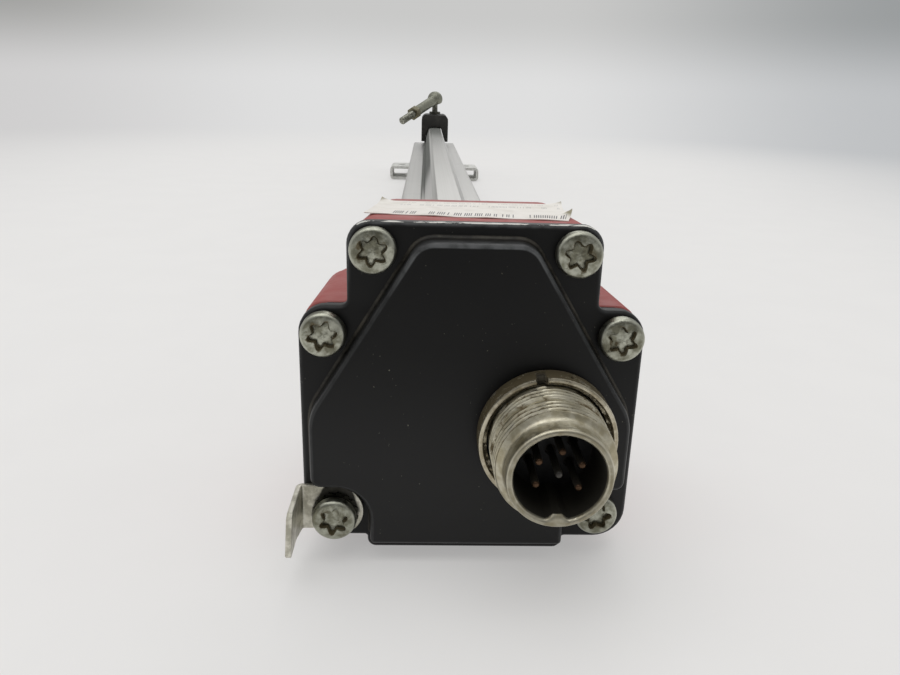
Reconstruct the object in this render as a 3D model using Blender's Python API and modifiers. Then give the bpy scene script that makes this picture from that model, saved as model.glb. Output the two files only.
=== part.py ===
"""Magnetostrictive linear position sensor: a sensing head, an extruded rail and a captive magnet slider.

Axes: +X right, +Y from the connector along the rail, +Z up. The origin is on the underside of the
head's foot, half way along the head, and the sensor lies on its foot and on its mounting clamp.
"""

import math

import bmesh
import bpy
from mathutils import Matrix, Vector

MM = 0.001

# Facets
FINE = 48
ROUND = 24
SMALL = 16
CORNER_STEPS = 4

# Clearances
JOINT_GAP = 0.3 * MM
CUT_MARGIN = 1.0 * MM

# Head outline, seen from the connector's side
HEAD_WIDTH = 49.0 * MM
HEAD_HEIGHT = 50.5 * MM
UPPER_WIDTH = 35.2 * MM
SHOULDER_HEIGHT = 38.6 * MM
FOOT_WIDTH = 30.0 * MM
LOBE_HEIGHT = 2.1 * MM
SHOULDER_RADIUS = 4.0 * MM
CROWN_RADIUS = 3.2 * MM
EDGE_RADIUS = 1.0 * MM

# Raised middle of the cover, which is also the outline of the space inside the head
CROWN_FLAT = 15.6 * MM
CROWN_DROP = 1.8 * MM
SLANT_FOOT_HEIGHT = 23.5 * MM
SIDE_LEDGE = 1.2 * MM
LUG_HEIGHT = 11.7 * MM
PLATEAU_HEIGHT = 3.5 * MM
PLATEAU_SILL = 0.3 * MM
PLATEAU_DRAFT = 0.5 * MM
PLATEAU_EDGE = 0.7 * MM
COVER_WALL = 1.8 * MM

# Head along the rail
HEAD_LENGTH = 25.0 * MM
FLANGE_THICKNESS = 2.4 * MM
GASKET_THICKNESS = 0.8 * MM
HOUSING_INSET = 0.4 * MM
HOUSING_WALL = 1.6 * MM
REAR_FLANGE_THICKNESS = 4.0 * MM
REAR_FLANGE_INSET = 1.2 * MM

# Cover screws
SCREW_INSET = 3.7 * MM
LOWER_SCREW_INSET = 4.9 * MM
SCREW_SHANK = 4.0 * MM
SCREW_CLEARANCE = 0.3 * MM
SCREW_HEAD = 6.4 * MM
SCREW_HEAD_HEIGHT = 2.0 * MM
SCREW_THREAD_REACH = 3.0 * MM
LOBED_DRIVE = 3.9 * MM
LOBED_DRIVE_DEPTH = 1.3 * MM

# Ground tab
TAB_THICKNESS = 0.8 * MM
TAB_WIDTH = 7.2 * MM
TAB_LIFT = 0.6 * MM
TAB_RING = 8.2 * MM
TAB_REACH = 0.9 * MM
TAB_BLADE = 8.2 * MM
TAB_TIP_CHAMFER = 0.6 * MM
TAB_BEND_RADIUS = 1.1 * MM
WASHER_THICKNESS = 0.6 * MM
WASHER_DIAMETER = 7.0 * MM

# Connector inlet
CONNECTOR_X = 10.5 * MM
CONNECTOR_Z = 21.6 * MM
CONNECTOR_THREAD = 16.6 * MM
CONNECTOR_GROOVE = 15.4 * MM
CONNECTOR_TUBE = 13.7 * MM
CONNECTOR_BORE = 11.9 * MM
CONNECTOR_REACH = 13.9 * MM
CONNECTOR_FLANGE = 18.6 * MM
CONNECTOR_FLANGE_THICKNESS = 2.0 * MM
CONNECTOR_BARREL = 15.0 * MM
CONNECTOR_BARREL_LENGTH = 2.2 * MM
FIRST_THREAD_LENGTH = 6.1 * MM
GROOVE_LENGTH = 1.0 * MM
SECOND_THREAD_LENGTH = 3.2 * MM
SEAL_THICKNESS = 0.8 * MM
NUT_DIAMETER = 19.4 * MM
NUT_HEIGHT = 3.6 * MM
NUT_RIM = 0.7 * MM
NUT_RIM_HEIGHT = 0.8 * MM
NUT_NOTCH = 1.3 * MM
KEY_WIDTH = 2.2 * MM
KEY_HEIGHT = 1.0 * MM
CLOCKING = math.radians(-4.0)
INSERT_DEPTH = 8.6 * MM
PIN_DIAMETER = 1.0 * MM
PIN_CIRCLE = 6.4 * MM
PIN_TIP_DEPTH = 1.2 * MM
PIN_ANGLES = (90, 30, 330, 210, 150)

# Boards inside the head
BOARD_THICKNESS = 1.6 * MM
BOARD_CLEARANCE = 1.2 * MM
SMALL_BOARD = 15.0 * MM
SMALL_BOARD_GAP = 1.2 * MM
BOARD_SPACING = 6.2 * MM
STANDOFF_DIAMETER = 4.4 * MM
STANDOFF_X = 9.5 * MM
STANDOFF_HEIGHTS = (33.0 * MM, 8.0 * MM)
BOARD_SCREW = 2.4 * MM
BOARD_SCREW_HEAD = 4.2 * MM
BOARD_SCREW_HEAD_HEIGHT = 1.4 * MM
BOARD_SCREW_LENGTH = 6.0 * MM
LINK_SIZE = (7.6 * MM, 2.4 * MM)
CHIP_SIZE = (7.0 * MM, 7.0 * MM, 1.4 * MM)
CAPACITOR_DIAMETER = 5.0 * MM
CAPACITOR_HEIGHT = 4.6 * MM

# Waveguide and its pickup
WAVEGUIDE_HEIGHT = 13.6 * MM
WAVEGUIDE_DIAMETER = 0.7 * MM
TUBE_DIAMETER = 3.0 * MM
TUBE_BORE = 2.0 * MM
RETURN_WIRE_DIAMETER = 0.7 * MM
RETURN_WIRE_RISE = 2.6 * MM
COIL_DIAMETER = 6.0 * MM
COIL_LENGTH = 5.0 * MM
BRACKET_WALL = 1.2 * MM
BRACKET_WIDTH = 10.0 * MM
BRACKET_FOOT = 3.0 * MM
BIAS_MAGNET_SIZE = (5.0 * MM, 3.0 * MM, 2.0 * MM)
DAMPER_LENGTH = 24.0 * MM

# Extruded rail
RAIL_LENGTH = 535.0 * MM
RAIL_WIDTH = 34.4 * MM
RAIL_UNDERSIDE = 2.3 * MM
DECK_HEIGHT = 22.5 * MM
DECK_CHAMFER = 1.2 * MM
PLINTH_WIDTH = 16.6 * MM
PLINTH_RISE = 3.3 * MM
NECK_WIDTH = 11.4 * MM
NECK_RISE = 2.8 * MM
GUIDE_WIDTH = 14.2 * MM
GUIDE_RISE = 7.6 * MM
GUIDE_SHOULDER_WIDTH = 9.6 * MM
GUIDE_TOP_WIDTH = 6.8 * MM
GUIDE_CROWN_RISE = 1.0 * MM
CLAMP_GROOVE_DEPTH = 3.0 * MM
DUCT_DIAMETER = 8.0 * MM
RAIL_SCREW_X = 11.5 * MM
RAIL_SCREW_DIAMETER = 3.6 * MM
RAIL_SCREW_HEAD = 6.0 * MM
RAIL_SCREW_HEAD_HEIGHT = 1.6 * MM
RAIL_SCREW_LENGTH = 12.0 * MM
END_CAP_THICKNESS = 3.0 * MM

# Mounting clamp
CLAMP_THICKNESS = 2.0 * MM
CLAMP_WIDTH = 68.0 * MM
CLAMP_HEIGHT = 10.0 * MM
CLAMP_DEPTH = 28.0 * MM
CLAMP_BEND = 2.8 * MM
CLAMP_HOLE = 5.3 * MM
CLAMP_HOLE_SPACING = 50.0 * MM
CLAMP_FROM_END = 78.7 * MM

# Magnet slider
SLIDER_FROM_END = 20.7 * MM
SLIDER_WIDTH = 21.2 * MM
SLIDER_LENGTH = 43.0 * MM
SLIDER_ROOF = 9.3 * MM
SLIDER_LEG_CLEARANCE = 0.7 * MM
SLIDER_CROWN_RADIUS = 4.0 * MM
SLIDER_RUNNING_GAP = 0.5 * MM
SLIDER_LIP_HEIGHT = 1.6 * MM
MAGNET_SIZE = (9.0 * MM, 12.0 * MM, 3.2 * MM)

# Ball joint and arm
BALL_RISE = 11.9 * MM
BALL_DIAMETER = 8.0 * MM
BALL_STEM = 4.4 * MM
BALL_COLLAR = 9.0 * MM
BALL_COLLAR_HEIGHT = 1.8 * MM
STUD_DEPTH = 4.2 * MM
SEAT_THICKNESS = 0.7 * MM
SEAT_GAP = 0.15 * MM
SOCKET_DIAMETER = 12.2 * MM
ARM_TILT_DOWN = math.radians(18.0)
ARM_TILT_RANGE = math.radians(36.0)
ARM_BEARING = math.radians(30.9)
ARM_LENGTH = 52.5 * MM
SHANK_DIAMETER = 7.6 * MM
SHANK_LENGTH = 31.0 * MM
ARM_STUD_DIAMETER = 5.6 * MM
ARM_STUD_GRIP = 9.0 * MM
LOCK_NUT_WIDTH = 9.0 * MM
LOCK_NUT_HEIGHT = 5.0 * MM

# Places along Y, worked out from the sizes above
HEAD_FRONT = -HEAD_LENGTH / 2
FACE_FRONT = HEAD_FRONT - PLATEAU_HEIGHT
COVER_BACK = HEAD_FRONT + FLANGE_THICKNESS
HOUSING_FRONT = COVER_BACK + GASKET_THICKNESS + 2 * JOINT_GAP
HOUSING_BACK = HEAD_LENGTH / 2
REAR_GASKET_FRONT = HOUSING_BACK + JOINT_GAP
REAR_FLANGE_FRONT = REAR_GASKET_FRONT + GASKET_THICKNESS + JOINT_GAP
REAR_FLANGE_BACK = REAR_FLANGE_FRONT + REAR_FLANGE_THICKNESS
RAIL_FRONT = REAR_FLANGE_BACK + JOINT_GAP
RAIL_BACK = RAIL_FRONT + RAIL_LENGTH
CLAMP_FRONT = RAIL_BACK - CLAMP_FROM_END
SLIDER_POSITION = RAIL_BACK - SLIDER_FROM_END
PANEL_BACK = FACE_FRONT + COVER_WALL
SHELL_FLANGE_FRONT = PANEL_BACK + SEAL_THICKNESS + 2 * JOINT_GAP
SHELL_BACK = SHELL_FLANGE_FRONT + CONNECTOR_FLANGE_THICKNESS + CONNECTOR_BARREL_LENGTH
RIM_FRONT = FACE_FRONT - CONNECTOR_REACH
INSERT_FRONT = RIM_FRONT + INSERT_DEPTH
SMALL_BOARD_FRONT = SHELL_BACK + SMALL_BOARD_GAP
SMALL_BOARD_BACK = SMALL_BOARD_FRONT + BOARD_THICKNESS
MAIN_BOARD_FRONT = SMALL_BOARD_BACK + BOARD_SPACING
MAIN_BOARD_BACK = MAIN_BOARD_FRONT + BOARD_THICKNESS

# Heights on the rail, each on top of the one before
PLINTH_HEIGHT = DECK_HEIGHT + PLINTH_RISE
GUIDE_HEIGHT = PLINTH_HEIGHT + NECK_RISE
GUIDE_SHOULDER_HEIGHT = GUIDE_HEIGHT + GUIDE_RISE
GUIDE_TOP_HEIGHT = GUIDE_SHOULDER_HEIGHT + GUIDE_CROWN_RISE
SLIDER_TOP = GUIDE_TOP_HEIGHT + SLIDER_RUNNING_GAP + SLIDER_ROOF
BALL_HEIGHT = SLIDER_TOP + BALL_RISE

model = None
cutters = None


def new_collection(name):
    """A collection linked to the scene."""
    made = bpy.data.collections.new(name)
    bpy.context.scene.collection.children.link(made)
    return made


def new_material(name, colour, roughness, metallic=0.0):
    """A Principled material of one colour."""
    made = bpy.data.materials.new(name)
    made.use_nodes = True
    shader = made.node_tree.nodes["Principled BSDF"]
    shader.inputs["Base Color"].default_value = (*colour, 1.0)
    shader.inputs["Roughness"].default_value = roughness
    shader.inputs["Metallic"].default_value = metallic
    made.diffuse_color = (*colour, 1.0)
    return made


def new_object(name, data, material=None):
    """An object in the model's collection."""
    made = bpy.data.objects.new(name, data)
    model.objects.link(made)
    if material:
        data.materials.append(material)
    return made


def shade(obj, angle=math.radians(35)):
    """Smooth shading, with the sharp edges kept."""
    obj.data.shade_smooth()
    obj.data.set_sharp_from_angle(angle=angle)
    return obj


def rounded(corners, steps=CORNER_STEPS):
    """Points of a closed outline whose corners (x, y, radius) are arcs."""
    points = []
    count = len(corners)
    for k, (x, y, radius) in enumerate(corners):
        here = Vector((x, y))
        if radius <= 0:
            points.append(here)
            continue
        back = (Vector(corners[k - 1][:2]) - here).normalized()
        ahead = (Vector(corners[(k + 1) % count][:2]) - here).normalized()
        half = back.angle(ahead) / 2
        centre = here + (back + ahead).normalized() * radius / math.sin(half)
        start = here + back * radius / math.tan(half) - centre
        end = here + ahead * radius / math.tan(half) - centre
        sweep = math.atan2(start.cross(end), start.dot(end))
        for step in range(steps + 1):
            points.append(centre + Matrix.Rotation(sweep * step / steps, 2) @ start)
    return points


def inset(corners, distance):
    """The corners of an anticlockwise outline, moved in by a distance, with their radii following."""
    moved = []
    count = len(corners)
    for k, (x, y, radius) in enumerate(corners):
        here = Vector((x, y))
        before = (here - Vector(corners[k - 1][:2])).normalized()
        after = (Vector(corners[(k + 1) % count][:2]) - here).normalized()
        first = Vector((-before.y, before.x))
        second = Vector((-after.y, after.x))
        shift = (first + second) * distance / (1 + first.dot(second))
        turn = before.cross(after)
        follows = radius - distance if turn > 0 else radius + distance
        moved.append((x + shift.x, y + shift.y, max(follows, 0.2 * MM) if radius > 0 else 0))
    return moved


def mirrored(half):
    """A closed outline from its right half, listed from the bottom up."""
    return half + [(-x, y, radius) for x, y, radius in reversed(half)]


def circle(x, y, radius, segments=ROUND):
    """Points of a circle."""
    angles = [2 * math.pi * k / segments for k in range(segments)]
    return [Vector((x + radius * math.cos(a), y + radius * math.sin(a))) for a in angles]


FACINGS = {
    "Y": Matrix.Rotation(math.radians(90), 4, "X"),
    "Z": Matrix.Identity(4),
}


def plate(name, loops, low, high, material=None, along="Y"):
    """A flat outline with its holes, filled and extruded from low to high along Y or Z."""
    curve = bpy.data.curves.new(name, "CURVE")
    curve.dimensions = "2D"
    curve.fill_mode = "BOTH"
    curve.extrude = (high - low) / 2
    for loop in loops:
        spline = curve.splines.new("POLY")
        spline.points.add(len(loop) - 1)
        for point, place in zip(spline.points, loop):
            point.co = (place[0], place[1], 0, 1)
        spline.use_cyclic_u = True
    flat = new_object(name + "_outline", curve)
    middle = (low + high) / 2
    offset = Vector((0, middle, 0)) if along == "Y" else Vector((0, 0, middle))
    flat.matrix_world = Matrix.Translation(offset) @ FACINGS[along]
    return curve_to_mesh(flat, name, material)


def curve_to_mesh(flat, name, material):
    """A curve's evaluated mesh as an object of its own, with its caps welded on."""
    bpy.context.view_layer.update()
    graph = bpy.context.evaluated_depsgraph_get()
    mesh = bpy.data.meshes.new_from_object(flat.evaluated_get(graph))
    mesh.materials.clear()
    shaped = bmesh.new()
    shaped.from_mesh(mesh)
    bmesh.ops.remove_doubles(shaped, verts=shaped.verts, dist=0.001 * MM)
    bmesh.ops.recalc_face_normals(shaped, faces=shaped.faces)
    shaped.to_mesh(mesh)
    shaped.free()
    made = new_object(name, mesh, material)
    made.matrix_world = flat.matrix_world.copy()
    bpy.data.objects.remove(flat)
    return shade(made)


def loft(name, sections, material=None):
    """A closed solid through sections of matching points, each a list of (x, y, z)."""
    shaped = bmesh.new()
    rings = [[shaped.verts.new(point) for point in section] for section in sections]
    count = len(rings[0])
    for lower, upper in zip(rings, rings[1:]):
        for k in range(count):
            following = (k + 1) % count
            shaped.faces.new((lower[k], lower[following], upper[following], upper[k]))
    for ring in (rings[0], rings[-1]):
        shaped.faces.new(ring)
    shaped.normal_update()
    bmesh.ops.triangulate(shaped, faces=shaped.faces)
    bmesh.ops.recalc_face_normals(shaped, faces=shaped.faces)
    mesh = bpy.data.meshes.new(name)
    shaped.to_mesh(mesh)
    shaped.free()
    return shade(new_object(name, mesh, material))


def turned(name, profile, place, material=None, segments=ROUND, closed=False):
    """A profile of (radius, height) turned about the local Z axis of a placing matrix.

    The profile runs down the outer side. A closed profile makes a ring.
    """
    mesh = bpy.data.meshes.new(name)
    count = len(profile)
    edges = [(k, k + 1) for k in range(count - 1)]
    if closed:
        edges.append((count - 1, 0))
    mesh.from_pydata([(radius, 0, height) for radius, height in profile], edges, [])
    made = new_object(name, mesh, material)
    made.matrix_world = place
    screw = made.modifiers.new("Turn", "SCREW")
    screw.axis = "Z"
    screw.steps = segments
    screw.render_steps = segments
    screw.use_merge_vertices = True
    screw.merge_threshold = 0.001 * MM
    screw.use_smooth_shade = True
    return made


def block(name, size, place, material=None, edge=0.0):
    """A box centred on a placing matrix, with its edges broken by a small bevel."""
    shaped = bmesh.new()
    bmesh.ops.create_cube(shaped, size=1.0, matrix=Matrix.Diagonal((*size, 1.0)))
    mesh = bpy.data.meshes.new(name)
    shaped.to_mesh(mesh)
    shaped.free()
    made = new_object(name, mesh, material)
    made.matrix_world = place
    if edge > 0:
        bevel = made.modifiers.new("Edges", "BEVEL")
        bevel.width = edge
        bevel.segments = 1
    return made


def at(x, y, z):
    """A placing matrix with the model's own axes."""
    return Matrix.Translation((x, y, z))


def facing_front(x, y, z):
    """A placing matrix whose local Z points to the front of the sensor, along -Y."""
    return at(x, y, z) @ Matrix.Rotation(math.radians(90), 4, "X")


def cut(obj, cutter):
    """Takes a closed cutter away from an object, and puts the cutter out of sight."""
    boolean(obj, cutter, "DIFFERENCE")


def boolean(obj, other, operation):
    """A Boolean modifier whose second solid stays in the file as a hidden guide."""
    modifier = obj.modifiers.new(operation.title(), "BOOLEAN")
    modifier.operation = operation
    modifier.solver = "EXACT"
    modifier.object = other
    if other.name in model.objects:
        model.objects.unlink(other)
        cutters.objects.link(other)
    other.hide_render = True
    other.display_type = "WIRE"


def group(name, place, members):
    """An empty at a joint, which carries the pieces that move with it."""
    empty = bpy.data.objects.new(name, None)
    empty.empty_display_size = 10 * MM
    model.objects.link(empty)
    empty.matrix_world = place
    bpy.context.view_layer.update()
    for member in members:
        kept = member.matrix_world.copy()
        member.parent = empty
        member.matrix_parent_inverse = empty.matrix_world.inverted()
        member.matrix_world = kept
    return empty


def head_corners():
    """The stepped outline that the cover, gaskets, housing and rear flange share."""
    half = [
        (FOOT_WIDTH / 2, 0, 0.6 * LOBE_HEIGHT),
        (FOOT_WIDTH / 2, LOBE_HEIGHT, EDGE_RADIUS / 2),
        (HEAD_WIDTH / 2, LOBE_HEIGHT, LOWER_SCREW_INSET - 0.2 * MM),
        (HEAD_WIDTH / 2, SHOULDER_HEIGHT, SHOULDER_RADIUS),
        (UPPER_WIDTH / 2, SHOULDER_HEIGHT, EDGE_RADIUS),
        (UPPER_WIDTH / 2, HEAD_HEIGHT, CROWN_RADIUS),
    ]
    return mirrored(half)


def housing_corners():
    """The head's outline a little inside the cover's edge, with the foot at the same height."""
    inside = inset(head_corners(), HOUSING_INSET)
    return [(x, 0 if z < LOBE_HEIGHT / 2 else z, radius) for x, z, radius in inside]


def plateau_corners():
    """The outline inside the six screws: slanted shoulders above, a round lug cut-out below, clear of the foot."""
    side = HEAD_WIDTH / 2 - SIDE_LEDGE
    lug = LUG_HEIGHT - LOBE_HEIGHT - LOWER_SCREW_INSET
    half = [
        (FOOT_WIDTH / 2 - PLATEAU_SILL, LOBE_HEIGHT + PLATEAU_SILL, EDGE_RADIUS),
        (FOOT_WIDTH / 2 - PLATEAU_SILL, LUG_HEIGHT, lug),
        (side, LUG_HEIGHT, EDGE_RADIUS + 0.8 * MM),
        (side, SLANT_FOOT_HEIGHT, 2 * SHOULDER_RADIUS),
        (CROWN_FLAT / 2, HEAD_HEIGHT - CROWN_DROP, SHOULDER_RADIUS),
    ]
    return mirrored(half)


def screw_places():
    """Name and (x, z) of each cover screw."""
    upper = UPPER_WIDTH / 2 - SCREW_INSET
    shoulder = HEAD_WIDTH / 2 - SCREW_INSET
    lower = HEAD_WIDTH / 2 - LOWER_SCREW_INSET
    low = LOBE_HEIGHT + LOWER_SCREW_INSET
    places = {}
    for side, sign in (("left", -1), ("right", 1)):
        places["top_" + side] = (sign * upper, HEAD_HEIGHT - SCREW_INSET)
        places["shoulder_" + side] = (sign * shoulder, SHOULDER_HEIGHT - SCREW_INSET)
        places["lower_" + side] = (sign * lower, low)
    return places


def screw_holes():
    """The cover screws' clearance holes, as loops of an outline."""
    radius = SCREW_SHANK / 2 + SCREW_CLEARANCE
    return [circle(x, z, radius, SMALL) for x, z in screw_places().values()]


def cavity(clearance):
    """The corners of the space inside the head's walls, less a clearance."""
    return inset(plateau_corners(), HOUSING_WALL + clearance)


def section(corners, y):
    """An outline's points in space, at one place along Y."""
    return [(p.x, y, p.y) for p in rounded(corners)]


def build_cover(paint):
    """Die-cast front cover: a flange with a hollow raised middle, six screw holes and the inlet's hole."""
    flange = head_corners()
    cover = loft("front_cover", [section(flange, COVER_BACK), section(flange, HEAD_FRONT)], paint)
    foot = plateau_corners()
    lower_edge = inset(foot, PLATEAU_DRAFT)
    face = inset(foot, PLATEAU_DRAFT + PLATEAU_EDGE)
    middle = loft(
        "cover_plateau",
        [
            section(foot, HEAD_FRONT + FLANGE_THICKNESS / 2),
            section(foot, HEAD_FRONT - 0.1 * MM),
            section(lower_edge, FACE_FRONT + PLATEAU_EDGE),
            section(face, FACE_FRONT),
        ],
    )
    boolean(cover, middle, "UNION")
    pocket = inset(foot, COVER_WALL)
    hollow = loft(
        "cover_pocket",
        [section(pocket, COVER_BACK + CUT_MARGIN), section(pocket, PANEL_BACK)],
    )
    cut(cover, hollow)
    drill = plate(
        "cover_screw_holes",
        [circle(0, 0, SCREW_SHANK / 2 + SCREW_CLEARANCE, SMALL)],
        -FLANGE_THICKNESS,
        FLANGE_THICKNESS,
    )
    for k, (x, z) in enumerate(screw_places().values()):
        bit = drill if k == 0 else copy_of(drill, f"cover_screw_hole_{k}")
        bit.location = (x, (HEAD_FRONT + COVER_BACK) / 2, z)
        cut(cover, bit)
    inlet = turned(
        "cover_inlet_hole",
        [(0, 3 * COVER_WALL), (inlet_radius(), 3 * COVER_WALL), (inlet_radius(), 0), (0, 0)],
        facing_front(CONNECTOR_X, PANEL_BACK + COVER_WALL, CONNECTOR_Z),
        segments=FINE,
    )
    cut(cover, inlet)
    return cover


def copy_of(obj, name):
    """A second object on the same mesh."""
    made = bpy.data.objects.new(name, obj.data)
    made.matrix_world = obj.matrix_world
    model.objects.link(made)
    return made


def inlet_radius():
    """The hole that the connector's thread passes through."""
    return CONNECTOR_THREAD / 2 + JOINT_GAP


def build_housing(paint, rubber, alloy):
    """Extruded housing between two gaskets, and the rear flange that the long screws pull it to."""
    opening = rounded(cavity(0))
    seal_opening = rounded(inset(plateau_corners(), COVER_WALL))
    outer = rounded(housing_corners())
    flange = rounded(inset(head_corners(), REAR_FLANGE_INSET))
    front = COVER_BACK + JOINT_GAP
    plate(
        "front_gasket",
        [outer, seal_opening] + screw_holes(),
        front,
        front + GASKET_THICKNESS,
        rubber,
    )
    plate(
        "electronics_housing",
        [outer, opening] + screw_holes(),
        HOUSING_FRONT,
        HOUSING_BACK,
        paint,
    )
    plate(
        "rear_gasket",
        [flange, opening] + screw_holes(),
        REAR_GASKET_FRONT,
        REAR_GASKET_FRONT + GASKET_THICKNESS,
        rubber,
    )
    duct = circle(0, WAVEGUIDE_HEIGHT, TUBE_DIAMETER / 2 + RETURN_WIRE_RISE)
    rail_holes = [circle(x, WAVEGUIDE_HEIGHT, RAIL_SCREW_DIAMETER / 2 + JOINT_GAP, SMALL) for x in rail_screws()]
    plate(
        "rear_flange",
        [flange, duct] + rail_holes + screw_holes(),
        REAR_FLANGE_FRONT,
        REAR_FLANGE_BACK,
        alloy,
    )


def rail_screws():
    """X of the screws that hold the rail's two ends."""
    return (-RAIL_SCREW_X, RAIL_SCREW_X)


def lobed_outline(width, segments=24):
    """A six-lobed drive recess: a circle whose radius swells and shrinks six times round."""
    points = []
    for k in range(segments):
        angle = 2 * math.pi * k / segments
        radius = width / 2 * (0.86 + 0.14 * math.cos(6 * angle))
        points.append(Vector((radius * math.cos(angle), radius * math.sin(angle))))
    return points


def build_cover_screws(zinc):
    """Six long pan-head screws that pass through the housing into the rear flange."""
    raised = TAB_THICKNESS + WASHER_THICKNESS + 2 * JOINT_GAP
    edge = 0.4 * MM
    radius = SCREW_HEAD / 2
    for where, (x, z) in screw_places().items():
        seat = HEAD_FRONT - JOINT_GAP - (raised if where == "lower_left" else 0)
        length = REAR_FLANGE_FRONT + SCREW_THREAD_REACH - seat
        screw = turned(
            "cover_screw_" + where,
            [
                (0, SCREW_HEAD_HEIGHT),
                (radius - edge, SCREW_HEAD_HEIGHT),
                (radius, SCREW_HEAD_HEIGHT - edge),
                (radius, 0),
                (SCREW_SHANK / 2, 0),
                (SCREW_SHANK / 2, -length),
                (0, -length),
            ],
            facing_front(x, seat, z),
            zinc,
        )
        front = seat - SCREW_HEAD_HEIGHT
        recess = plate(
            f"drive_recess_{where}",
            [lobed_outline(LOBED_DRIVE)],
            front - CUT_MARGIN,
            front + LOBED_DRIVE_DEPTH,
        )
        recess.location.x = x
        recess.location.z = z
        cut(screw, recess)


def build_ground_tab(tin, zinc):
    """Folded earthing tab: a ring under the lower left screw and a blade bent to the front."""
    x, z = screw_places()["lower_left"]
    back = HEAD_FRONT - JOINT_GAP
    front = back - TAB_THICKNESS
    edge = -HEAD_WIDTH / 2 - TAB_REACH
    inner = edge + TAB_THICKNESS
    inner_radius = max(TAB_BEND_RADIUS - TAB_THICKNESS, 0.1 * MM)
    folded = [
        (x, back, 0),
        (x, front, 0),
        (inner, front, inner_radius),
        (inner, front - TAB_BLADE, 0),
        (edge, front - TAB_BLADE, 0),
        (edge, back, TAB_BEND_RADIUS),
    ]
    outline = rounded([(px, py, radius) for px, py, radius in reversed(folded)])
    middle = z + TAB_LIFT
    tab = plate("ground_tab", [outline], middle - TAB_WIDTH / 2, middle + TAB_WIDTH / 2, tin, along="Z")
    ring = plate("ground_tab_ring", [circle(0, 0, TAB_RING / 2)], front, back)
    ring.location.x = x
    ring.location.z = z
    boolean(tab, ring, "UNION")
    hole = plate(
        "ground_tab_hole",
        [circle(0, 0, SCREW_SHANK / 2 + SCREW_CLEARANCE, SMALL)],
        front - CUT_MARGIN,
        back + CUT_MARGIN,
    )
    hole.location.x = x
    hole.location.z = z
    cut(tab, hole)
    for sign, name in ((1, "ground_tab_tip_above"), (-1, "ground_tab_tip_below")):
        corner = at(inner, front - TAB_BLADE, middle + sign * TAB_WIDTH / 2)
        turn = Matrix.Rotation(math.radians(45), 4, "X")
        side = TAB_TIP_CHAMFER * math.sqrt(2)
        cut(tab, block(name, (4 * TAB_THICKNESS, side, side), corner @ turn))
    seat = front - JOINT_GAP
    turned(
        "ground_lock_washer",
        ring_profile(SCREW_SHANK / 2 + SCREW_CLEARANCE, WASHER_DIAMETER / 2, WASHER_THICKNESS),
        facing_front(x, seat, z),
        zinc,
        closed=True,
    )


def ring_profile(inner, outer, height):
    """The closed section of a flat ring standing on its seat."""
    return [(inner, height), (outer, height), (outer, 0), (inner, 0)]


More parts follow.
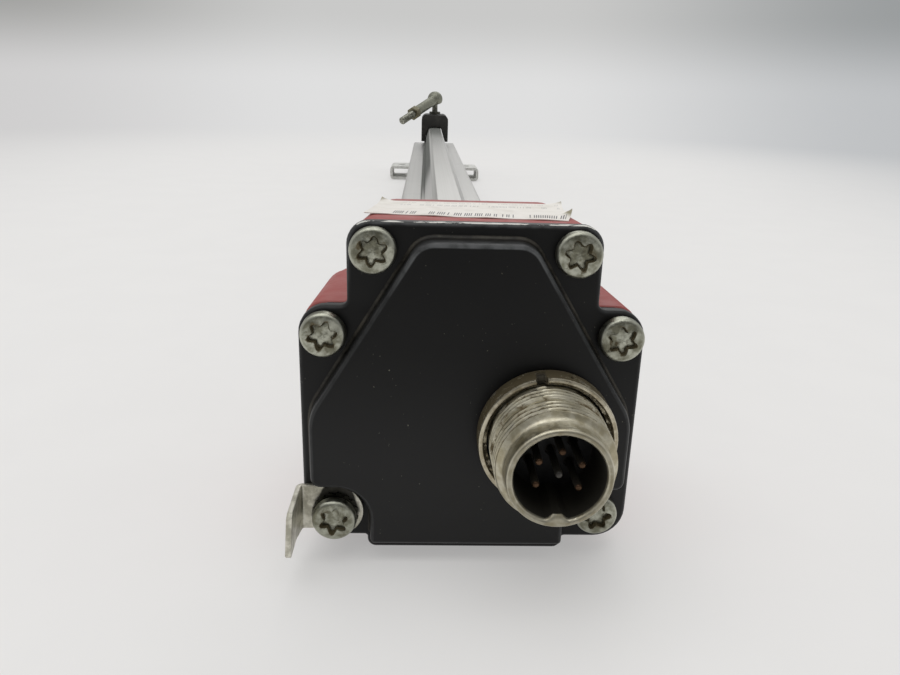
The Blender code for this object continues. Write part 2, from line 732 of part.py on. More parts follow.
def build_connector(nickel, rubber, plastic, gold):
    """Screwed round inlet: a shell clamped to the cover by a slotted ring nut, with six pins."""
    bore = CONNECTOR_BORE / 2
    thread = CONNECTOR_THREAD / 2
    flange_front = PANEL_BACK - SHELL_FLANGE_FRONT
    first_end = FIRST_THREAD_LENGTH
    groove_end = first_end + GROOVE_LENGTH
    second_end = groove_end + SECOND_THREAD_LENGTH
    step = (CONNECTOR_THREAD - CONNECTOR_TUBE) / 4
    reach = CONNECTOR_REACH + COVER_WALL
    back = PANEL_BACK - SHELL_BACK
    flange_back = flange_front - CONNECTOR_FLANGE_THICKNESS
    shell = turned(
        "connector_shell",
        [
            (bore, reach),
            (CONNECTOR_TUBE / 2, reach),
            (CONNECTOR_TUBE / 2, second_end + step + COVER_WALL),
            (thread - step, second_end + COVER_WALL),
            (thread, second_end - step / 2 + COVER_WALL),
            (thread, groove_end + COVER_WALL),
            (CONNECTOR_GROOVE / 2, groove_end - step / 4 + COVER_WALL),
            (CONNECTOR_GROOVE / 2, first_end + COVER_WALL),
            (thread, first_end - step / 4 + COVER_WALL),
            (thread, flange_front),
            (CONNECTOR_FLANGE / 2, flange_front),
            (CONNECTOR_FLANGE / 2, flange_back),
            (CONNECTOR_BARREL / 2, flange_back),
            (CONNECTOR_BARREL / 2, back),
            (bore, back),
        ],
        facing_front(CONNECTOR_X, PANEL_BACK, CONNECTOR_Z),
        nickel,
        segments=FINE,
        closed=True,
    )
    down = math.radians(270) + CLOCKING
    key_at = bore - KEY_HEIGHT / 2 + 0.3 * MM
    key = block(
        "connector_key",
        (KEY_HEIGHT + 0.6 * MM, INSERT_FRONT - RIM_FRONT - CUT_MARGIN, KEY_WIDTH),
        at(
            CONNECTOR_X + key_at * math.cos(down),
            (INSERT_FRONT + RIM_FRONT) / 2,
            CONNECTOR_Z + key_at * math.sin(down),
        )
        @ Matrix.Rotation(-down, 4, "Y"),
        edge=KEY_HEIGHT / 3,
    )
    boolean(shell, key, "UNION")
    turned(
        "connector_seal",
        ring_profile(thread + JOINT_GAP, CONNECTOR_FLANGE / 2, SEAL_THICKNESS),
        facing_front(CONNECTOR_X, PANEL_BACK + JOINT_GAP + SEAL_THICKNESS, CONNECTOR_Z),
        rubber,
        segments=FINE,
        closed=True,
    )
    nut_radius = NUT_DIAMETER / 2
    nut = turned(
        "connector_ring_nut",
        [
            (nut_radius - NUT_RIM, NUT_HEIGHT),
            (nut_radius, NUT_HEIGHT),
            (nut_radius, 0.4 * MM),
            (nut_radius - 0.4 * MM, 0),
            (thread + JOINT_GAP, 0),
            (thread + JOINT_GAP, NUT_HEIGHT - NUT_RIM_HEIGHT),
        ],
        facing_front(CONNECTOR_X, FACE_FRONT - JOINT_GAP, CONNECTOR_Z),
        nickel,
        segments=FINE,
        closed=True,
    )
    notch_front = FACE_FRONT - JOINT_GAP - NUT_HEIGHT
    notches = block(
        "ring_nut_notches",
        (NUT_NOTCH, 2 * NUT_RIM_HEIGHT, NUT_DIAMETER + 2 * CUT_MARGIN),
        at(CONNECTOR_X, notch_front, CONNECTOR_Z) @ Matrix.Rotation(2 * CLOCKING, 4, "Y"),
    )
    cut(nut, notches)
    build_insert(plastic, gold)


def pin_places():
    """Name and (x, z) of each contact pin: one in the middle, and five of the six round it."""
    places = [("centre", (CONNECTOR_X, CONNECTOR_Z))]
    for k, degrees in enumerate(PIN_ANGLES):
        angle = math.radians(degrees) + CLOCKING
        x = CONNECTOR_X + PIN_CIRCLE / 2 * math.cos(angle)
        z = CONNECTOR_Z + PIN_CIRCLE / 2 * math.sin(angle)
        places.append((str(k + 1), (x, z)))
    return places


def pin_loops():
    """The pins' holes, as loops of an outline."""
    return [circle(x, z, PIN_DIAMETER / 2 + JOINT_GAP, 12) for _, (x, z) in pin_places()]


def build_insert(plastic, gold):
    """Moulded insert that holds the pins in the shell's bore."""
    plate(
        "connector_insert",
        [circle(CONNECTOR_X, CONNECTOR_Z, CONNECTOR_BORE / 2 - JOINT_GAP)] + pin_loops(),
        INSERT_FRONT,
        SHELL_BACK,
        plastic,
    )
    tip = PIN_DIAMETER / 2
    for name, (x, z) in pin_places():
        front = RIM_FRONT + PIN_TIP_DEPTH
        length = SMALL_BOARD_BACK + PIN_DIAMETER - front
        turned(
            "contact_pin_" + name,
            [(0, length), (tip * 0.6, length), (tip, length - tip), (tip, 0), (0, 0)],
            facing_front(x, front + length, z),
            gold,
            segments=12,
        )


def build_boards(laminate, plastic, steel, alloy):
    """Two circuit boards, the link between them, their parts, stand-offs and screws."""
    plate(
        "connector_board",
        [circle(CONNECTOR_X, CONNECTOR_Z, SMALL_BOARD / 2)] + pin_loops(),
        SMALL_BOARD_FRONT,
        SMALL_BOARD_BACK,
        laminate,
    )
    posts = [(sign * STANDOFF_X, z) for z in STANDOFF_HEIGHTS for sign in (-1, 1)]
    wire = circle(0, WAVEGUIDE_HEIGHT, COIL_DIAMETER / 2 + BRACKET_WALL + BOARD_CLEARANCE)
    holes = [circle(x, z, BOARD_SCREW / 2 + JOINT_GAP, 12) for x, z in posts]
    plate(
        "main_board",
        [rounded(cavity(BOARD_CLEARANCE)), wire] + holes,
        MAIN_BOARD_FRONT,
        MAIN_BOARD_BACK,
        laminate,
    )
    link_length = BOARD_SPACING - 2 * JOINT_GAP
    block(
        "board_link",
        (LINK_SIZE[0], link_length, LINK_SIZE[1]),
        at(
            CONNECTOR_X - SMALL_BOARD / 4,
            SMALL_BOARD_BACK + BOARD_SPACING / 2,
            CONNECTOR_Z + PIN_CIRCLE / 2 + LINK_SIZE[1],
        ),
        plastic,
    )
    block(
        "signal_processor",
        (CHIP_SIZE[0], CHIP_SIZE[2], CHIP_SIZE[1]),
        at(-STANDOFF_X, MAIN_BOARD_FRONT - JOINT_GAP - CHIP_SIZE[2] / 2, WAVEGUIDE_HEIGHT + CHIP_SIZE[1]),
        plastic,
        edge=0.2 * MM,
    )
    turned(
        "supply_capacitor",
        [
            (0, CAPACITOR_HEIGHT),
            (CAPACITOR_DIAMETER / 2 - 0.4 * MM, CAPACITOR_HEIGHT),
            (CAPACITOR_DIAMETER / 2, CAPACITOR_HEIGHT - 0.4 * MM),
            (CAPACITOR_DIAMETER / 2, 0),
            (0, 0),
        ],
        facing_front(0, MAIN_BOARD_FRONT - JOINT_GAP, SHOULDER_HEIGHT),
        alloy,
        segments=SMALL,
    )
    build_standoffs(posts, steel)


def build_standoffs(posts, steel):
    """Tubular stand-offs on the rear flange, and the screws that hold the main board to them."""
    bore = BOARD_SCREW / 2 + JOINT_GAP
    back = REAR_FLANGE_FRONT - JOINT_GAP
    length = back - MAIN_BOARD_BACK - JOINT_GAP
    head = BOARD_SCREW_HEAD / 2
    shank = BOARD_SCREW / 2
    for k, (x, z) in enumerate(posts):
        turned(
            f"board_standoff_{k + 1}",
            ring_profile(bore, STANDOFF_DIAMETER / 2, length),
            facing_front(x, back, z),
            steel,
            segments=SMALL,
            closed=True,
        )
        turned(
            f"board_screw_{k + 1}",
            [
                (0, BOARD_SCREW_HEAD_HEIGHT),
                (head * 0.7, BOARD_SCREW_HEAD_HEIGHT),
                (head, BOARD_SCREW_HEAD_HEIGHT / 2),
                (head, 0),
                (shank, 0),
                (shank, -BOARD_SCREW_LENGTH),
                (0, -BOARD_SCREW_LENGTH),
            ],
            facing_front(x, MAIN_BOARD_FRONT - JOINT_GAP, z),
            steel,
            segments=12,
        )


def build_waveguide(steel, copper, plastic, alloy, rubber):
    """The sensing wire in its tube, with the pickup at the head and the damper at the far end."""
    coil_back = REAR_FLANGE_FRONT - BRACKET_WALL - 2 * JOINT_GAP
    coil_front = coil_back - COIL_LENGTH
    wire_front = coil_front - JOINT_GAP - PIN_DIAMETER
    wire_end = RAIL_BACK - 2 * JOINT_GAP
    wire = WAVEGUIDE_DIAMETER / 2
    rod("waveguide_wire", wire, wire_front, wire_end, 0, WAVEGUIDE_HEIGHT, steel)
    rod(
        "return_wire",
        RETURN_WIRE_DIAMETER / 2,
        REAR_FLANGE_FRONT,
        wire_end,
        0,
        WAVEGUIDE_HEIGHT + RETURN_WIRE_RISE,
        copper,
    )
    tube_front = REAR_FLANGE_FRONT
    tube_end = wire_end - DAMPER_LENGTH - JOINT_GAP
    turned(
        "waveguide_tube",
        ring_profile(TUBE_BORE / 2, TUBE_DIAMETER / 2, tube_end - tube_front),
        facing_front(0, tube_end, WAVEGUIDE_HEIGHT),
        plastic,
        segments=SMALL,
        closed=True,
    )
    turned(
        "damping_sleeve",
        ring_profile(wire + JOINT_GAP, TUBE_DIAMETER / 2, DAMPER_LENGTH),
        facing_front(0, wire_end, WAVEGUIDE_HEIGHT),
        rubber,
        segments=SMALL,
        closed=True,
    )
    turned(
        "pickup_coil",
        ring_profile(wire + JOINT_GAP, COIL_DIAMETER / 2, COIL_LENGTH),
        facing_front(0, coil_back, WAVEGUIDE_HEIGHT),
        copper,
        segments=ROUND,
        closed=True,
    )
    build_bracket(alloy, coil_front)
    size = BIAS_MAGNET_SIZE
    block(
        "bias_magnet",
        size,
        at(
            0,
            coil_front + COIL_LENGTH / 2,
            WAVEGUIDE_HEIGHT - COIL_DIAMETER / 2 - JOINT_GAP - size[2] / 2,
        ),
        steel,
    )


def rod(name, radius, front, back, x, z, material):
    """A straight round wire along Y."""
    return turned(
        name,
        [(0, back - front), (radius, back - front), (radius, 0), (0, 0)],
        facing_front(x, back, z),
        material,
        segments=8,
    )


def build_bracket(alloy, front):
    """Folded cradle that carries the coil and its magnet on the rear flange."""
    back = REAR_FLANGE_FRONT - JOINT_GAP
    floor = WAVEGUIDE_HEIGHT - COIL_DIAMETER / 2 - BIAS_MAGNET_SIZE[2] - 2 * JOINT_GAP
    half = BRACKET_WIDTH / 2
    inner = half - BRACKET_WALL
    low = floor - BRACKET_WALL
    top = WAVEGUIDE_HEIGHT + COIL_DIAMETER / 4
    cradle = [
        (half, low, BRACKET_WALL),
        (half, top, 0),
        (inner, top, 0),
        (inner, floor, 0),
        (-inner, floor, 0),
        (-inner, top, 0),
        (-half, top, 0),
        (-half, low, BRACKET_WALL),
    ]
    bracket = plate("pickup_bracket", [rounded(cradle)], front, back, alloy)
    wall_front = back - BRACKET_WALL
    wall = plate(
        "bracket_back_wall",
        [
            rounded(
                [
                    (-half + 0.1 * MM, low + BRACKET_WALL / 2, 0),
                    (half - 0.1 * MM, low + BRACKET_WALL / 2, 0),
                    (half - 0.1 * MM, top + BRACKET_FOOT, 0),
                    (-half + 0.1 * MM, top + BRACKET_FOOT, 0),
                ]
            ),
            circle(0, WAVEGUIDE_HEIGHT, TUBE_DIAMETER / 2 + JOINT_GAP, SMALL),
        ],
        wall_front,
        back - 0.01 * MM,
    )
    boolean(bracket, wall, "UNION")


def groove_height():
    """Underside and top of the clamp's groove in the rail's sides."""
    return (
        CLAMP_HEIGHT - CLAMP_THICKNESS - JOINT_GAP,
        CLAMP_HEIGHT + JOINT_GAP,
    )


def rail_outline():
    """The rail's section: a base with side grooves for the clamps, and a raised guide on its deck."""
    low, high = groove_height()
    side = RAIL_WIDTH / 2
    half = [
        (side, RAIL_UNDERSIDE, EDGE_RADIUS),
        (side, low, 0.3 * MM),
        (side - CLAMP_GROOVE_DEPTH, low, 0),
        (side - CLAMP_GROOVE_DEPTH, high, 0),
        (side, high, 0.3 * MM),
        (side, DECK_HEIGHT, DECK_CHAMFER),
        (PLINTH_WIDTH / 2, DECK_HEIGHT, 0.5 * MM),
        (PLINTH_WIDTH / 2, PLINTH_HEIGHT, 0.4 * MM),
        (NECK_WIDTH / 2, PLINTH_HEIGHT, 0),
        (NECK_WIDTH / 2, GUIDE_HEIGHT, 0),
        (GUIDE_WIDTH / 2, GUIDE_HEIGHT, 0.4 * MM),
        (GUIDE_SHOULDER_WIDTH / 2, GUIDE_SHOULDER_HEIGHT, 0),
        (GUIDE_TOP_WIDTH / 2, GUIDE_TOP_HEIGHT, 0),
    ]
    return rounded(mirrored(half), steps=2)


def build_rail(anodised, alloy, zinc):
    """Extruded rail with its duct and screw channels, the end cap and the screws at both ends."""
    channel = RAIL_SCREW_DIAMETER / 2 + JOINT_GAP
    channels = [circle(x, WAVEGUIDE_HEIGHT, channel, SMALL) for x in rail_screws()]
    duct = circle(0, WAVEGUIDE_HEIGHT, DUCT_DIAMETER / 2)
    outline = rail_outline()
    plate("profile_rail", [outline, duct] + channels, RAIL_FRONT, RAIL_BACK, anodised)
    cap_front = RAIL_BACK + JOINT_GAP
    cap_back = cap_front + END_CAP_THICKNESS
    plate("rail_end_cap", [outline] + channels, cap_front, cap_back, alloy)
    head = RAIL_SCREW_HEAD / 2
    shank = RAIL_SCREW_DIAMETER / 2
    profile = [
        (0, RAIL_SCREW_HEAD_HEIGHT),
        (head - 0.4 * MM, RAIL_SCREW_HEAD_HEIGHT),
        (head, RAIL_SCREW_HEAD_HEIGHT - 0.4 * MM),
        (head, 0),
        (shank, 0),
        (shank, -RAIL_SCREW_LENGTH),
        (0, -RAIL_SCREW_LENGTH),
    ]
    facing_back = Matrix.Rotation(math.radians(-90), 4, "X")
    for side, x in zip(("left", "right"), rail_screws()):
        turned(
            "end_cap_screw_" + side,
            profile,
            at(x, cap_back + JOINT_GAP, WAVEGUIDE_HEIGHT) @ facing_back,
            zinc,
            segments=SMALL,
        )
        turned(
            "rail_screw_" + side,
            profile,
            facing_front(x, REAR_FLANGE_FRONT - JOINT_GAP, WAVEGUIDE_HEIGHT),
            zinc,
            segments=SMALL,
        )


def build_clamp(zinc):
    """Mounting clamp, one folded strip: a base under the rail with its two ends curled into the grooves."""
    side = CLAMP_WIDTH / 2
    lip = RAIL_WIDTH / 2 - CLAMP_GROOVE_DEPTH + JOINT_GAP
    inner_bend = CLAMP_BEND - CLAMP_THICKNESS
    half = [
        (side, 0, CLAMP_BEND),
        (side, CLAMP_HEIGHT, CLAMP_BEND),
        (lip, CLAMP_HEIGHT, 0),
        (lip, CLAMP_HEIGHT - CLAMP_THICKNESS, 0),
        (side - CLAMP_THICKNESS, CLAMP_HEIGHT - CLAMP_THICKNESS, inner_bend),
        (side - CLAMP_THICKNESS, CLAMP_THICKNESS, inner_bend),
    ]
    low = CLAMP_FRONT
    clamp = plate("mounting_clamp", [rounded(mirrored(half))], low, low + CLAMP_DEPTH, zinc)
    for sign, name in ((-1, "clamp_hole_left"), (1, "clamp_hole_right")):
        hole = turned(
            name,
            [
                (0, CLAMP_HEIGHT + CUT_MARGIN),
                (CLAMP_HOLE / 2, CLAMP_HEIGHT + CUT_MARGIN),
                (CLAMP_HOLE / 2, -CUT_MARGIN),
                (0, -CUT_MARGIN),
            ],
            at(sign * CLAMP_HOLE_SPACING / 2, low + CLAMP_DEPTH / 2, 0),
        )
        cut(clamp, hole)
    group("clamp_slide", at(0, low + CLAMP_DEPTH / 2, 0), [clamp])


def slider_outline():
    """The slider's section: a saddle over the guide, with lips that reach into its neck."""
    gap = SLIDER_RUNNING_GAP
    low = PLINTH_HEIGHT + SLIDER_LEG_CLEARANCE
    lip = low + SLIDER_LIP_HEIGHT
    wide = GUIDE_WIDTH / 2 + gap
    half = [
        (SLIDER_WIDTH / 2, low, 0.5 * MM),
        (SLIDER_WIDTH / 2, SLIDER_TOP, SLIDER_CROWN_RADIUS),
    ]
    inside = [
        (NECK_WIDTH / 2 + gap, low, 0),
        (NECK_WIDTH / 2 + gap, lip, 0),
        (wide, lip, 0),
        (wide, GUIDE_HEIGHT + gap, 0),
        (GUIDE_SHOULDER_WIDTH / 2 + gap, GUIDE_SHOULDER_HEIGHT, 0),
        (GUIDE_TOP_WIDTH / 2 + gap, GUIDE_TOP_HEIGHT + gap, 0),
    ]
    left = [(-x, z, radius) for x, z, radius in reversed(half)]
    under = [(-x, z, radius) for x, z, radius in inside]
    return rounded(half + left + under + inside[::-1])


def build_slider(plastic, magnetic, steel):
    """Captive slider with its position magnet and ball stud."""
    front = SLIDER_POSITION - SLIDER_LENGTH / 2
    body = plate("slider_body", [slider_outline()], front, front + SLIDER_LENGTH, plastic)
    size = MAGNET_SIZE
    roof = GUIDE_TOP_HEIGHT + SLIDER_RUNNING_GAP
    magnet_middle = roof + size[2] / 2
    gap = JOINT_GAP
    pocket = block(
        "magnet_pocket",
        (size[0] + 2 * gap, size[1] + 2 * gap, size[2] + 2 * gap + CUT_MARGIN),
        at(0, SLIDER_POSITION, magnet_middle + gap - CUT_MARGIN / 2),
    )
    cut(body, pocket)
    magnet = block("position_magnet", size, at(0, SLIDER_POSITION, magnet_middle + gap), magnetic)
    bore = turned(
        "stud_hole",
        [
            (0, SLIDER_TOP + CUT_MARGIN),
            (BALL_STEM / 2 + gap, SLIDER_TOP + CUT_MARGIN),
            (BALL_STEM / 2 + gap, SLIDER_TOP - STUD_DEPTH - gap),
            (0, SLIDER_TOP - STUD_DEPTH - gap),
        ],
        at(0, SLIDER_POSITION, 0),
    )
    cut(body, bore)
    stud = turned(
        "ball_stud",
        ball_stud_profile(),
        at(0, SLIDER_POSITION, 0),
        steel,
        segments=ROUND,
    )
    group("slider_travel", at(0, SLIDER_POSITION, GUIDE_TOP_HEIGHT), [body, magnet, stud])


def ball_stud_profile():
    """A ball on a stem, with a collar that sits on the slider and a shank set into it."""
    radius = BALL_DIAMETER / 2
    stem = BALL_STEM / 2
    seat = SLIDER_TOP + JOINT_GAP
    neck = math.asin(stem / radius)
    profile = []
    steps = 10
    for step in range(steps + 1):
        angle = (math.pi - neck) * step / steps
        profile.append((radius * math.sin(angle), BALL_HEIGHT + radius * math.cos(angle)))
    profile += [
        (stem, seat + BALL_COLLAR_HEIGHT),
        (BALL_COLLAR / 2, seat + BALL_COLLAR_HEIGHT - 0.3 * MM),
        (BALL_COLLAR / 2, seat),
        (stem, seat),
        (stem, SLIDER_TOP - STUD_DEPTH),
        (0, SLIDER_TOP - STUD_DEPTH),
    ]
    return profile


def shell_profile(inner, outer, opening, steps=8):
    """The closed section of a spherical shell, open below by a cone of the given half angle."""
    last = math.pi - opening
    outside = [(outer * math.sin(last * k / steps), outer * math.cos(last * k / steps)) for k in range(steps + 1)]
    inside = [(inner * math.sin(last * k / steps), inner * math.cos(last * k / steps)) for k in range(steps + 1)]
    return outside + inside[::-1]


def seat_inner():
    """Radius of the plastic seat's hollow."""
    return BALL_DIAMETER / 2 + SEAT_GAP


def socket_inner():
    """Radius of the socket's hollow, which clears the plastic seat."""
    return seat_inner() + SEAT_THICKNESS + SEAT_GAP


def arm_frame():
    """The arm's axes at the ball: local Z along the arm, local Y the socket's own axis."""
    level = math.cos(ARM_TILT_DOWN)
    along = Vector((-math.sin(ARM_BEARING) * level, -math.cos(ARM_BEARING) * level, -math.sin(ARM_TILT_DOWN)))
    side = Vector((0, 0, 1)).cross(along).normalized()
    up = along.cross(side)
    frame = Matrix((side, up, along)).transposed().to_4x4()
    return at(0, SLIDER_POSITION, BALL_HEIGHT) @ frame


def build_arm(plastic, zinc, steel):
    """Ball-jointed arm: the seat on the ball, the socket with its shank, and a stud with a lock nut."""
    centre = at(0, SLIDER_POSITION, BALL_HEIGHT)
    stem_angle = math.asin((BALL_STEM / 2 + 2 * SEAT_GAP) / seat_inner())
    seat = turned(
        "ball_seat",
        shell_profile(seat_inner(), seat_inner() + SEAT_THICKNESS, stem_angle + math.radians(4)),
        centre,
        plastic,
    )
    frame = arm_frame()
    socket_axis = frame @ Matrix.Rotation(math.radians(-90), 4, "X")
    opening = stem_angle + ARM_TILT_RANGE / 2 + math.radians(4)
    socket = turned(
        "joint_socket_arm",
        shell_profile(socket_inner(), SOCKET_DIAMETER / 2, opening),
        socket_axis,
        zinc,
    )
    root = (SOCKET_DIAMETER / 2 + socket_inner()) / 2
    shank_radius = SHANK_DIAMETER / 2
    bore = ARM_STUD_DIAMETER / 2 + JOINT_GAP
    edge = 0.5 * MM
    start = math.sqrt(root**2 - shank_radius**2)
    shank = turned(
        "arm_shank",
        [
            (0, SHANK_LENGTH),
            (shank_radius - edge, SHANK_LENGTH),
            (shank_radius, SHANK_LENGTH - edge),
            (shank_radius, start),
            (0, root),
        ],
        frame,
    )
    boolean(socket, shank, "UNION")
    hole = turned(
        "arm_thread_hole",
        [
            (0, SHANK_LENGTH + CUT_MARGIN),
            (bore, SHANK_LENGTH + CUT_MARGIN),
            (bore, SHANK_LENGTH - ARM_STUD_GRIP - JOINT_GAP),
            (0, SHANK_LENGTH - ARM_STUD_GRIP - JOINT_GAP),
        ],
        frame,
    )
    cut(socket, hole)
    thread = ARM_STUD_DIAMETER / 2
    stud = turned(
        "arm_stud",
        [
            (0, ARM_LENGTH),
            (thread - edge, ARM_LENGTH),
            (thread, ARM_LENGTH - edge),
            (thread, SHANK_LENGTH - ARM_STUD_GRIP),
            (0, SHANK_LENGTH - ARM_STUD_GRIP),
        ],
        frame,
        steel,
        segments=SMALL,
    )
    nut_base = SHANK_LENGTH + JOINT_GAP
    hexagon = circle(0, 0, LOCK_NUT_WIDTH / math.sqrt(3), 6)
    nut = plate(
        "arm_lock_nut",
        [hexagon, circle(0, 0, thread + JOINT_GAP, SMALL)],
        0,
        LOCK_NUT_HEIGHT,
        zinc,
        along="Z",
    )
    nut.matrix_world = frame @ at(0, 0, nut_base + LOCK_NUT_HEIGHT / 2)
    arm = group("arm_tilt", frame, [socket, stud, nut])
    swivel = group("arm_swivel", centre, [seat, arm])
    swivel.parent = bpy.data.objects["slider_travel"]
    swivel.matrix_parent_inverse = bpy.data.objects["slider_travel"].matrix_world.inverted()


def main():
    global model, cutters
    for obj in list(bpy.data.objects):
        bpy.data.objects.remove(obj, do_unlink=True)
    model = new_collection("position_sensor")
    cutters = new_collection("cutters")
    black_paint = new_material("black_enamel", (0.014, 0.014, 0.016), 0.42)
    red_paint = new_material("red_enamel", (0.42, 0.035, 0.04), 0.45)
    rubber = new_material("black_rubber", (0.02, 0.02, 0.02), 0.8)
    black_plastic = new_material("black_nylon", (0.02, 0.02, 0.022), 0.55)
    white_plastic = new_material("white_plastic", (0.75, 0.75, 0.72), 0.5)
    anodised = new_material("anodised_aluminium", (0.62, 0.63, 0.62), 0.38, 0.9)
    alloy = new_material("cast_alloy", (0.5, 0.5, 0.5), 0.45, 0.9)
    zinc = new_material("zinc_plated_steel", (0.55, 0.54, 0.48), 0.4, 1.0)
    tin = new_material("tinned_brass", (0.66, 0.65, 0.6), 0.35, 1.0)
    nickel = new_material("nickel_plated_brass", (0.62, 0.58, 0.5), 0.3, 1.0)
    gold = new_material("gold_plating", (0.75, 0.5, 0.3), 0.3, 1.0)
    laminate = new_material("circuit_laminate", (0.03, 0.2, 0.08), 0.4)
    copper = new_material("copper_winding", (0.6, 0.25, 0.12), 0.4, 1.0)
    magnetic = new_material("ferrite", (0.08, 0.08, 0.085), 0.6)
    steel = new_material("bright_steel", (0.5, 0.5, 0.5), 0.3, 1.0)
    build_cover(black_paint)
    build_housing(red_paint, rubber, alloy)
    build_cover_screws(zinc)
    build_ground_tab(tin, zinc)
    build_connector(nickel, rubber, black_plastic, gold)
    build_boards(laminate, black_plastic, steel, alloy)
    build_waveguide(steel, copper, white_plastic, alloy, rubber)
    build_rail(anodised, alloy, zinc)
    build_clamp(zinc)
    build_slider(black_plastic, magnetic, steel)
    build_arm(white_plastic, zinc, steel)


main()
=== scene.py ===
import math

import bpy
import numpy as np
from mathutils import Matrix, Vector


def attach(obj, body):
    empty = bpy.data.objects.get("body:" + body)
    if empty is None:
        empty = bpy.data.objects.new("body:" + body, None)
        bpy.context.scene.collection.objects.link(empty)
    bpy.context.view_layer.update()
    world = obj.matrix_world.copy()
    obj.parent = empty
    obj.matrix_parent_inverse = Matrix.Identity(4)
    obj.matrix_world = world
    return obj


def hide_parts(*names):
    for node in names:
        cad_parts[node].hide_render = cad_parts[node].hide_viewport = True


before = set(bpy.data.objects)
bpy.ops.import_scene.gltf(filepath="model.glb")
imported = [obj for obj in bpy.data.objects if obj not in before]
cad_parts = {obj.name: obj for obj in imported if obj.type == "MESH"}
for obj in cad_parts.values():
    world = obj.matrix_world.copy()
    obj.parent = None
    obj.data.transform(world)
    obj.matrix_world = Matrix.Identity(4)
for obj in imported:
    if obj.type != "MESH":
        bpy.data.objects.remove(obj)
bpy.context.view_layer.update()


# Studio
# A pale matt table, one large soft lamp overhead and a weaker one behind.
# The camera stands close in front of the cover, a little above it, and looks down along the rail.


def colour(code):
    """The linear colour of a screen colour, each channel undone from its screen curve."""
    values = [int(code[k : k + 2], 16) / 255 for k in (0, 2, 4)]
    return (*(v / 12.92 if v <= 0.04045 else ((v + 0.055) / 1.055) ** 2.4 for v in values), 1.0)


def add(tree, kind, inputs, output=0, **settings):
    """Adds one shader node, gives its inputs a value or a link, and returns one output.

    A colour mix takes its share at input 0 and its colours at 6 and 7, and gives output 2.
    """
    made = tree.nodes.new("ShaderNode" + kind)
    for key, value in settings.items():
        setattr(made, key, value)
    for key, value in inputs.items():
        if isinstance(value, bpy.types.NodeSocket):
            tree.links.new(value, made.inputs[key])
        else:
            made.inputs[key].default_value = value
    return made.outputs[output]


def start_material(name):
    """A new material with an empty tree, and the object's own coordinates."""
    made = bpy.data.materials.new(name)
    made.use_nodes = True
    tree = made.node_tree
    tree.nodes.clear()
    return made, tree, add(tree, "TexCoord", {}, "Object")


def show(tree, inputs):
    """Ends a material with its surface shader."""
    surface = add(tree, "BsdfPrincipled", inputs)
    tree.links.new(surface, tree.nodes.new("ShaderNodeOutputMaterial").inputs["Surface"])


def backdrop(tree, way, left, middle, right):
    """The backdrop's grey in a direction: its middle shade behind the object, darker to both sides.

    Away from there it is one plain grey.
    """
    shade = add(tree, "Mix", {
        0: add(tree, "MapRange", {
            "Value": add(tree, "SeparateXYZ", {0: way}, "X"),
            "From Min": -0.13, "From Max": -0.5,
        }, interpolation_type="SMOOTHSTEP"),
        6: colour(middle), 7: colour(left),
    }, 2, data_type="RGBA")
    shade = add(tree, "Mix", {
        0: add(tree, "MapRange", {
            "Value": add(tree, "SeparateXYZ", {0: way}, "X"),
            "From Min": 0.13, "From Max": 0.55,
        }, interpolation_type="SMOOTHSTEP"),
        6: shade, 7: colour(right),
    }, 2, data_type="RGBA")
    return add(tree, "Mix", {
        0: add(tree, "MapRange", {
            "Value": add(tree, "SeparateXYZ", {0: way}, "Y"),
            "From Min": 0.8, "From Max": 0.5,
        }, interpolation_type="SMOOTHSTEP"),
        6: shade, 7: colour("c8c8c8"),
    }, 2, data_type="RGBA")


def seen_rays(tree):
    """1 for what is seen directly, in a gloss or through glass, and 0 for light on a matt surface."""
    path = tree.nodes.new("ShaderNodeLightPath")
    glossy = add(tree, "Math", {
        0: path.outputs["Is Glossy Ray"], 1: path.outputs["Is Transmission Ray"],
    }, operation="MAXIMUM")
    return add(tree, "Math", {0: path.outputs["Is Camera Ray"], 1: glossy}, operation="MAXIMUM")


horizon = ("d0cfcf", "dfdfdf", "bfc1c3")


